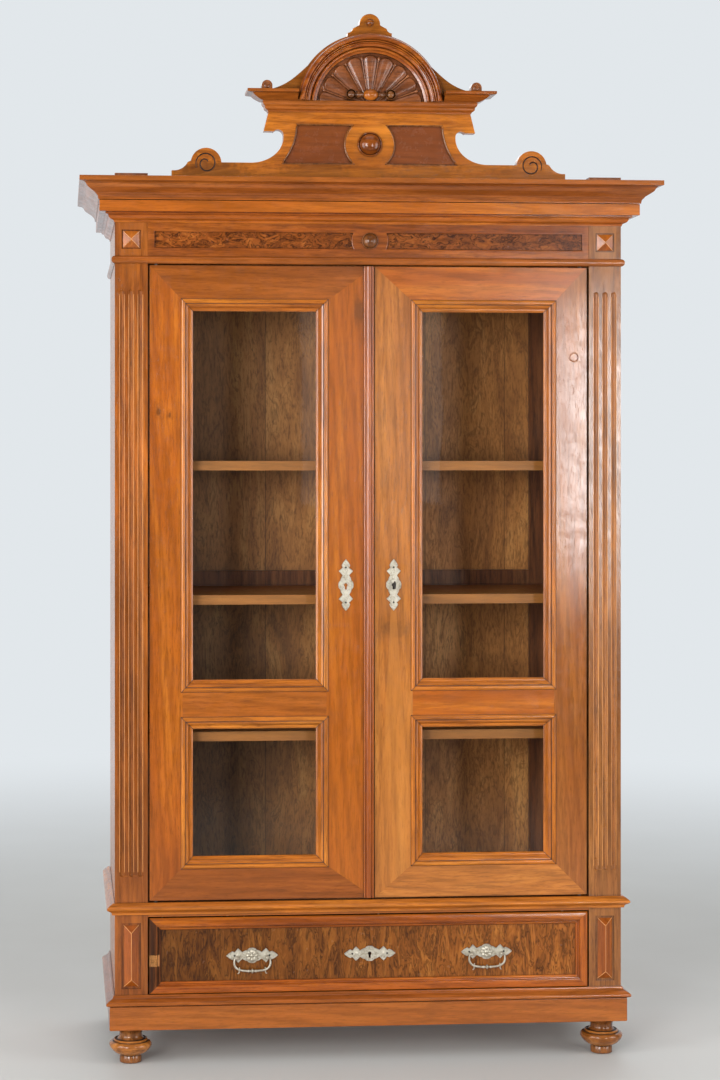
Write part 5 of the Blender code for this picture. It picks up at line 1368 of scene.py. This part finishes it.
def make_door(side):
    sign = SIDES[side]
    low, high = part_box(f"door_{side}_frame")
    front, rear = DOOR_FACE, DOOR_FACE + DOOR_THICK
    outer, meet = (low.x, high.x) if sign < 0 else (high.x, low.x)
    hole_out = outer - sign * (OUTER_STILE + BEAD_LAP)
    hole_in = sign * (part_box("door_right_frame")[0].x + INNER_STILE)
    hole_in += sign * BEAD_LAP
    first, last = low.z + BOTTOM_RAIL + BEAD_LAP, high.z - TOP_RAIL - BEAD_LAP
    rail = low.z + BOTTOM_RAIL + LOWER_LIGHT
    stiles = []
    for edge, hole in ((outer, hole_out), (meet, hole_in)):
        stile = [(edge, low.z), (hole, first), (hole, last), (edge, high.z)]
        stiles.append(prism(stile, "Y", front, rear))
    if sign > 0:
        lock = middle_of("door_right_escutcheon")
        stiles[1] = cut(stiles[1], keyhole(lock, front - DOOR_THICK, rear + DOOR_THICK))
    foot, level = ("brown_X", "brown_X") if sign < 0 else ("right_foot_rail", "walnut_X")
    shapes = [(stile, f"{side}_{place}_stile") for stile, place in zip(stiles, ("outer", "inner"))]
    for edge, hole, finish in ((low.z, first, foot), (high.z, last, level)):
        board = [(outer, edge), (meet, edge), (hole_in, hole), (hole_out, hole)]
        shapes.append((prism(board, "Y", front, rear), finish))
    ends = sorted((hole_in, hole_out))
    lock_rail = block((ends[0], front, rail - BEAD_LAP), (ends[1], rear, rail + LOCK_RAIL + BEAD_LAP))
    shapes.append((lock_rail, level))
    if sign > 0:
        shapes.append((turned(PLUG, (PLUG_AT[0], front, PLUG_AT[1]), axis="Y"), "right_plug"))
    edges = (ends[0] - BEAD_LAP, ends[1] + BEAD_LAP)
    for bottom, top in ((first - BEAD_LAP, rail), (rail + LOCK_RAIL, last + BEAD_LAP)):
        shapes += door_light((edges[0], bottom), (edges[1], top), front)
    piece(f"door_{side}_joinery", shapes, [f"door_{side}_frame"], f"door_{side}", edge=JOINERY_EDGE)
    make_escutcheon(f"door_{side}_escutcheon", front, True, f"door_{side}")


def plate_outline():
    """Pointed, scalloped plate for keyholes and handles: (along, across) from its middle."""
    quarter = [(1.0, 0.0), (0.88, 0.34), (0.78, 0.52), (0.70, 0.34), (0.555, 0.90), (0.39, 0.36),
               (0.30, 0.56), (0.24, 0.66), (0.18, 0.68), (0.12, 0.90), (0.06, 0.98), (0.0, 1.0)]
    line = rounded(scaled(quarter, (0, 0), (PLATE_LENGTH / 2, PLATE_WIDTH / 2)), (2, 3, 4, 5, 8), 4)
    half = line + [(-a, b) for a, b in reversed(line[:-1])]
    return half + [(a, -b) for a, b in reversed(half[1:-1])]


def plate(centre, rear, upright):
    """A fitting plate against a front, standing or lying: its flat, and the raised rim round it."""
    x, z = centre
    loops = []
    steps = ((0.0, 0.0), (PLATE_FLAT, 0.0), (0.9, 0.0), (1.0, 0.0003), (1.0, 0.0008), (PLATE_FLAT, 0.0013))
    for depth, inward in steps:
        y = rear - SEAT - depth * PLATE_THICK
        points = grown(plate_outline(), -inward)
        loops.append([(x + b, y, z + a) if upright else (x + a, y, z + b) for a, b in points])
    return skinned(loops[:2]), skinned(loops[1:], ring=True)


def ring(centre, y, radius, wire):
    """A round wire lying on a front."""
    route = [(a, y, b) for a, b in arc(centre, radius, 0, 352.5, 47)]
    return tube(route, [wire] * len(route), (0, 1, 0), sides=10, closed=True)


def on_plate(centre, rear, upright, distance):
    """The two places on a plate's flat at a distance to either side of its middle."""
    y = rear - SEAT - PLATE_FLAT * PLATE_THICK
    for along in (-distance, distance):
        across, up = (0, along) if upright else (along, 0)
        yield centre[0] + across, y, centre[1] + up


def plate_studs(centre, rear, upright):
    """Small raised lozenges on a plate's wings, and the nails that hold it."""
    shapes = []
    for place in on_plate(centre, rear, upright, LOZENGE_AT * PLATE_LENGTH / 2):
        shapes.append((turned(LOZENGE, place, axis="Y", sides=4), "nickel"))
    for place in on_plate(centre, rear, upright, NAIL_AT):
        shapes.append((dome(NAIL_RADIUS, NAIL_RISE, place), "iron"))
    return shapes


def make_escutcheon(name, rear, upright, body):
    centre = middle_of(name)
    flat, rim = plate(centre, rear, upright)
    flat = cut(flat, keyhole(centre, rear - DOOR_THICK, rear + DOOR_THICK))
    collar = ring(centre, rear - SEAT - PLATE_FLAT * PLATE_THICK, COLLAR_RADIUS, COLLAR_WIRE)
    shapes = [(shape, "nickel") for shape in (flat, rim, collar)]
    shapes += plate_studs(centre, rear, upright)
    piece(f"{name}_plate", shapes, [name], body, edge=METAL_EDGE)


def make_strip():
    rows = [(0.0, 0.0), (0.0, 0.55), (0.08, 0.62), (0.14, 0.50), (0.20, 0.50), (0.28, 0.80), (0.42, 0.97),
            (0.56, 1.0), (0.70, 0.80), (0.76, 0.52), (0.82, 0.52), (0.90, 0.74), (1.0, 0.70), (1.0, 0.0)]
    low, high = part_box("door_strip")
    size = high.x - low.x, low.y - high.y
    line = rounded(scaled(rows, (low.x, high.y), size), (1, 3, 4, 9, 10, 12), 5)
    shapes = [(prism(line, "Z", low.z, high.z), "walnut_Z")]
    piece("door_strip_reeded", shapes, ["door_strip"], "door_left", edge=MOULDING_EDGE)


def make_key():
    low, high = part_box("door_key")
    x, z = middle_of("door_right_escutcheon")
    bow_y = low.y + KEY_BOW
    route, radii = [], []
    for i in range(48):
        turn = 2 * math.pi * i / 48
        y = bow_y - KEY_BOW * 0.02 + KEY_BOW * 0.79 * math.cos(turn)
        route.append((x, y, z + KEY_BOW * 0.81 * math.sin(turn)))
        radii.append(KEY_BOW * 0.17)
    shapes = [(tube(route, radii, (1, 0, 0), closed=True), "iron")]
    collar = ((0.0024, 0.72), (0.0033, 0.86), (0.0033, 1.0), (0.0024, 1.08), (KEY_SHANK, 1.2))
    shaft = [(radius, bow_y + KEY_BOW * along) for radius, along in collar]
    shaft += [(KEY_SHANK, high.y - KEY_TIP), (KEY_SHANK - KEY_TIP, high.y)]
    shapes.append((turned(shaft, (x, 0, z), axis="Y", sides=32), "iron"))
    near, far = (high.y - end for end in BIT_ENDS)
    shapes.append((block((x - BIT_HALF, near, low.z), (x + BIT_HALF, far, z)), "iron"))
    piece("door_key_forged", shapes, ["door_key"], "key", edge=METAL_EDGE)


# Drawer

def make_drawer_moulding():
    rows = [(0.0, 0.0), (0.0, 0.55), (0.08, 0.80), (0.30, 0.94), (0.55, 1.0), (0.68, 0.95), (0.72, 0.45),
            (0.80, 0.40), (0.86, 0.52), (0.95, 0.42), (1.0, 0.20), (1.0, 0.0)]
    low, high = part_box("drawer_moulding")
    line = rounded(scaled(rows, (0.0, SEAT), (DRAWER_BEAD, high.y - low.y)), (1, 5, 6, 10), 5)
    corners = (low.x, low.z), (high.x, high.z)
    shapes = frame_lengths(line, *corners, high.y + SEAT, ("walnut_Z", "walnut_X"))
    shapes[0] = (shapes[0][0], "worn_walnut")
    outer_part = line[:-12]  # the let-in piece stops short of the moulding's inner edge
    patch = [[(low.x + inward, high.y + SEAT - out, z) for inward, out in outer_part] for z in PATCH]
    shapes.append((skinned(patch), "pale_wood"))
    piece("drawer_moulding_lengths", shapes, ["drawer_moulding"], "drawer", edge=JOINERY_EDGE)


def rosette(centre):
    """A domed boss of eight petals round a small bead."""
    rows = ((1.0, 0.0), (0.98, 0.4), (0.86, 0.72), (0.66, 0.92), (0.46, 0.86), (0.36, 0.66), (0.30, 0.92),
            (0.16, 1.12), (0.03, 1.16))
    loops = []
    for share, rise in rows:
        loop = []
        for i in range(FINE):
            turn = 2 * math.pi * i / FINE
            petal = 1 + 0.10 * (abs(math.cos(4 * turn)) - 0.6) * (share > 0.4)
            lift = rise * DOME_RISE * (0.72 + 0.28 * abs(math.cos(4 * turn)) if 0.4 < share < 0.99 else 1.0)
            across = share * DOME_RADIUS * petal
            x, z = polar(across, turn)
            loop.append((centre[0] + x, centre[1] - lift, centre[2] + z))
        loops.append(loop)
    return skinned(loops)


def make_handle(side):
    centre = middle_of(f"handle_{side}_plate")[0], middle_of("drawer_escutcheon")[1]
    shapes = [(shape, "nickel") for shape in plate(centre, FIELD_Y, False)]
    shapes += plate_studs(centre, FIELD_Y, False)
    top = FIELD_Y - SEAT - PLATE_THICK
    shapes.append((rosette((centre[0], top + PLATE_THICK / 2, centre[1])), "nickel"))
    ear_z = centre[1] - EAR_DROP
    pivot_y = FIELD_Y - PLATE_THICK - EAR_LONG + EAR_RADIUS
    for sign in SIDES.values():
        neck = [(1.0, 0.0), (0.72, -0.0012), (0.55, -0.0028), (0.72, -0.0042)]
        ball = [(math.cos(turn), -EAR_LONG + EAR_RADIUS * (1 - math.sin(turn)))
                for turn in [math.radians(angle) for angle in range(-40, 90, 10)]]
        profile = [(share * EAR_RADIUS, along) for share, along in neck + ball] + [(0.0, -EAR_LONG)]
        place = (centre[0] + sign * EAR_SPREAD, FIELD_Y - PLATE_THICK, ear_z)
        ear = turned(profile, place, axis="Y", sides=32)
        hole = sorted((sign * (EAR_SPREAD - EAR_RADIUS * 0.4), sign * (EAR_SPREAD + 2 * EAR_RADIUS)))
        profile = [(EAR_BORE, end) for end in hole]
        bore = turned(profile, (centre[0], pivot_y, ear_z), axis="X", sides=24)
        shapes.append((cut(ear, bore), "nickel"))
    nodes = [f"handle_{side}_plate"]
    piece(f"handle_{side}_rosette", shapes, nodes, "drawer", edge=METAL_EDGE)


def make_bail(side):
    """Drop handle: a bowed wire with a knuckle between two balls, and a spur curling in at each end."""
    low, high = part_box(f"handle_{side}_bail")
    x, z = (low.x + high.x) / 2, high.z - BAIL_RADIUS
    y = (low.y + high.y) / 2
    bow = ((0.98, 0.12), (1.0, 0.32), (0.985, 0.52), (0.90, 0.74), (0.71, 0.90), (0.44, 0.975), (0.14, 1.0),
           (0.0, 1.0))
    half = [(EAR_SPREAD + SEAT, 0.0), (EAR_SPREAD + EAR_RADIUS, 0.0)]
    half += [(out * BAIL_HALF, down * BAIL_DROP) for out, down in bow]
    line = rounded(half, (1,), 6)
    route = [(-out, down) for out, down in line] + [(out, down) for out, down in reversed(line[:-1])]
    points = [(x + out, y, z - down) for out, down in route]
    radii = [BAIL_WIRE * (0.65 + 0.35 * min(1.0, 3 * abs(down) / BAIL_DROP)) for _, down in route]
    shapes = [(tube(points, radii, (0, 1, 0)), "nickel")]
    grip = z - BAIL_DROP
    knuckle = [(0.9, -1.5), (1.3, -1.2), (2.6, -0.8), (2.9, 0.0), (2.6, 0.8), (1.3, 1.2), (0.9, 1.5)]
    profile = rounded([(share * BAIL_RADIUS, along * BAIL_RADIUS) for share, along in knuckle])
    shapes.append((turned(profile, (x, y, grip), axis="X", sides=32), "nickel"))
    for sign in SIDES.values():
        ball = arc((0, 0), BAIL_WIRE * 1.35, -80, 80, 12)
        profile = [(max(across, 0.0003), along) for across, along in ball]
        shapes.append((turned(profile, (x + sign * BALL_AT, y, grip), axis="X", sides=32), "nickel"))
        inner = [(0.0312, 0.0246), (0.0290, 0.0232), (0.0276, 0.0214), (0.0282, 0.0200)]
        outer = [(0.0285, 0.0262), (0.0284, 0.0296), (0.0296, 0.0326), (0.0318, 0.0330)]
        for spur in (rounded(inner, (), 6), rounded(outer, (), 6)):
            points = [(x + sign * out, y, z - down) for out, down in spur]
            radii = [BAIL_WIRE * (0.62 - 0.22 * i / len(spur)) for i in range(len(spur))]
            shapes.append((tube(points, radii, (0, 1, 0), sides=12), "nickel"))
    nodes = [f"handle_{side}_bail"]
    piece(f"handle_{side}_bow", shapes, nodes, f"bail_{side}", angle=60)


def make_drawer():
    make_drawer_moulding()
    make_escutcheon("drawer_escutcheon", FIELD_Y, False, "drawer")
    for side in SIDES:
        make_handle(side)
        make_bail(side)


# Frame nodes that keep their shape and get a finish

KEPT = {
    "walnut_Z": ("side_left", "side_right"),
    "brown_X": ("base_floor", "waist_board"),
    "oak_X": ("top_board", "drawer_back", "drawer_bottom"),
    "shelf_oak": ("shelf_lower", "shelf_middle", "shelf_upper"),
    "oak_Y": ("drawer_side_left", "drawer_side_right"),
    "figured_oak": ("back_panel",),
    "frame_walnut": ("back_frame",),
    "burr_frieze": ("frieze_burr",),
    "panel_walnut": ("crest_panel",),
    "burr_drawer": ("drawer_front",),
    "glass": tuple(f"door_{side}_{level}_glass" for side in SIDES for level in ("upper", "lower")),
    "iron": ("door_lock", "drawer_lock",
             *(f"door_{side}_{level}_pivot" for side in SIDES for level in ("lower", "upper"))),
    "nickel": ("door_lock_bolt",),
}


def paint_kept():
    for finish, names in KEPT.items():
        for name in names:
            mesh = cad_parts[name].data
            mesh.materials.clear()
            mesh.materials.append(FINISHES[finish])


# Floor, light and camera

CAMERA_AT = (-0.6653, -5.0716, 1.303)
CAMERA_TURN = -0.0784
LENS = 76.08
SHIFT = (0.1111, -0.0772)
BACKDROP = (0.76, 0.80, 0.83)
FLOOR_COLOUR = (0.56, 0.56, 0.54)
FLOOR_RADIUS = 40.0
FLOOR_FADE = (1.2, 5.0)  # distances between which the floor turns into the backdrop
FILL = 0.27  # strength of the pale surroundings as light
GLOSS_FILL = 0.05  # and as mirrored in front of the cabinet, where the room is dark


def backdrop_level(tree, rearward, light):
    """Strength of the pale surroundings: white to the camera, and to mirrored or passed rays at the rear."""
    path = node(tree, "LightPath", {}).outputs
    bounced = sums(tree, "MAXIMUM", path["Is Glossy Ray"], path["Is Transmission Ray"])
    pale = node(tree, "MapRange", {0: rearward, 2: 0.5, 3: GLOSS_FILL, 4: 1.0}).outputs[0]
    level = node(tree, "MapRange", {0: bounced, 3: light, 4: pale}).outputs[0]
    return node(tree, "MapRange", {0: path["Is Camera Ray"], 3: level, 4: 1.0}).outputs[0]


def make_floor():
    """A pale floor that fades into the backdrop with distance."""
    tree, shader = fresh("floor")
    own = object_place(tree)
    away = node(tree, "VectorMath", {0: own}, operation="LENGTH").outputs["Value"]
    shader.inputs["Base Color"].default_value = (*FLOOR_COLOUR, 1.0)
    rough = ramp(tree, noise(tree, own, 3.0), [(0.3, 0.55), (0.7, 0.7)])
    tree.links.new(rough, shader.inputs["Roughness"])
    level = backdrop_level(tree, node(tree, "SeparateXYZ", {0: own}).outputs["Y"], GLOSS_FILL)
    glow = node(tree, "Emission", {"Color": (*BACKDROP, 1.0), "Strength": level}).outputs[0]
    fade = {0: away, 1: FLOOR_FADE[0], 2: FLOOR_FADE[1]}
    share = node(tree, "MapRange", fade, interpolation_type="SMOOTHSTEP").outputs[0]
    mixed = node(tree, "MixShader", {0: share, 1: shader.outputs[0], 2: glow}).outputs[0]
    tree.links.new(mixed, tree.nodes["Material Output"].inputs["Surface"])
    bm = bmesh.new()
    bmesh.ops.create_circle(bm, cap_ends=True, segments=96, radius=FLOOR_RADIUS)
    mesh = bpy.data.meshes.new("floor")
    bm.to_mesh(mesh)
    bm.free()
    mesh.materials.append(FINISHES["floor"])
    floor = linked("floor", mesh)


def make_world():
    world = bpy.data.worlds.new("studio")
    bpy.context.scene.world = world
    world.use_nodes = True
    tree = world.node_tree
    tree.nodes["Background"].inputs["Color"].default_value = (*BACKDROP, 1.0)
    direction = node(tree, "TexCoord", {}).outputs["Generated"]
    level = backdrop_level(tree, node(tree, "SeparateXYZ", {0: direction}).outputs["Y"], FILL)
    tree.links.new(level, tree.nodes["Background"].inputs["Strength"])


# Soft boxes: place, target, size and power
LAMPS = {
    "left_box": ((-2.35, -4.8, 1.6), (0.0, -0.2, 1.15), (1.4, 2.0), 185.0),
    "left_side_box": ((-3.0, -1.9, 1.4), (0.0, -0.2, 1.2), (1.8, 2.4), 82.0),
    "right_side_box": ((3.0, -2.0, 1.4), (0.0, -0.2, 1.2), (1.8, 2.4), 70.0),
    "pale_panel": ((0.665, -5.0, 1.65), (0.665, -0.2, 1.65), (0.6, 1.1), 1.7),
    "right_box": ((1.66, -4.8, 1.37), (0.2, -0.2, 1.15), (0.42, 1.1), 50.0),
    "top_box": ((0.0, -1.6, 4.4), (0.0, 0.1, 0.9), (3.0, 2.0), 20.0),
    "rear_box": ((0.8, 3.6, 4.2), (0.0, 0.2, 1.1), (5.0, 3.0), 110.0),
}


def make_lamps():
    for name, (place, target, size, power) in LAMPS.items():
        lamp = bpy.data.lights.new(name, "AREA")
        lamp.shape = "RECTANGLE"
        lamp.size, lamp.size_y = size
        lamp.energy = power
        made = linked(name, lamp)
        made.location = place
        made.rotation_euler = (Vector(target) - Vector(place)).to_track_quat("-Z", "Y").to_euler()


def make_camera():
    camera = bpy.data.cameras.new("camera")
    camera.lens = LENS
    camera.shift_x, camera.shift_y = SHIFT
    made = linked("camera", camera)
    made.location = CAMERA_AT
    made.rotation_euler = (math.pi / 2, 0.0, CAMERA_TURN)
    bpy.context.scene.camera = made
    bpy.context.scene.view_settings.view_transform = "Standard"


def main():
    make_finishes()
    make_feet()
    make_plinth()
    make_mouldings()
    make_cornice()
    make_posts()
    make_frieze()
    make_crest()
    for side in SIDES:
        make_door(side)
    make_strip()
    make_key()
    make_drawer()
    paint_kept()
    make_floor()
    make_world()
    make_lamps()
    make_camera()


main()
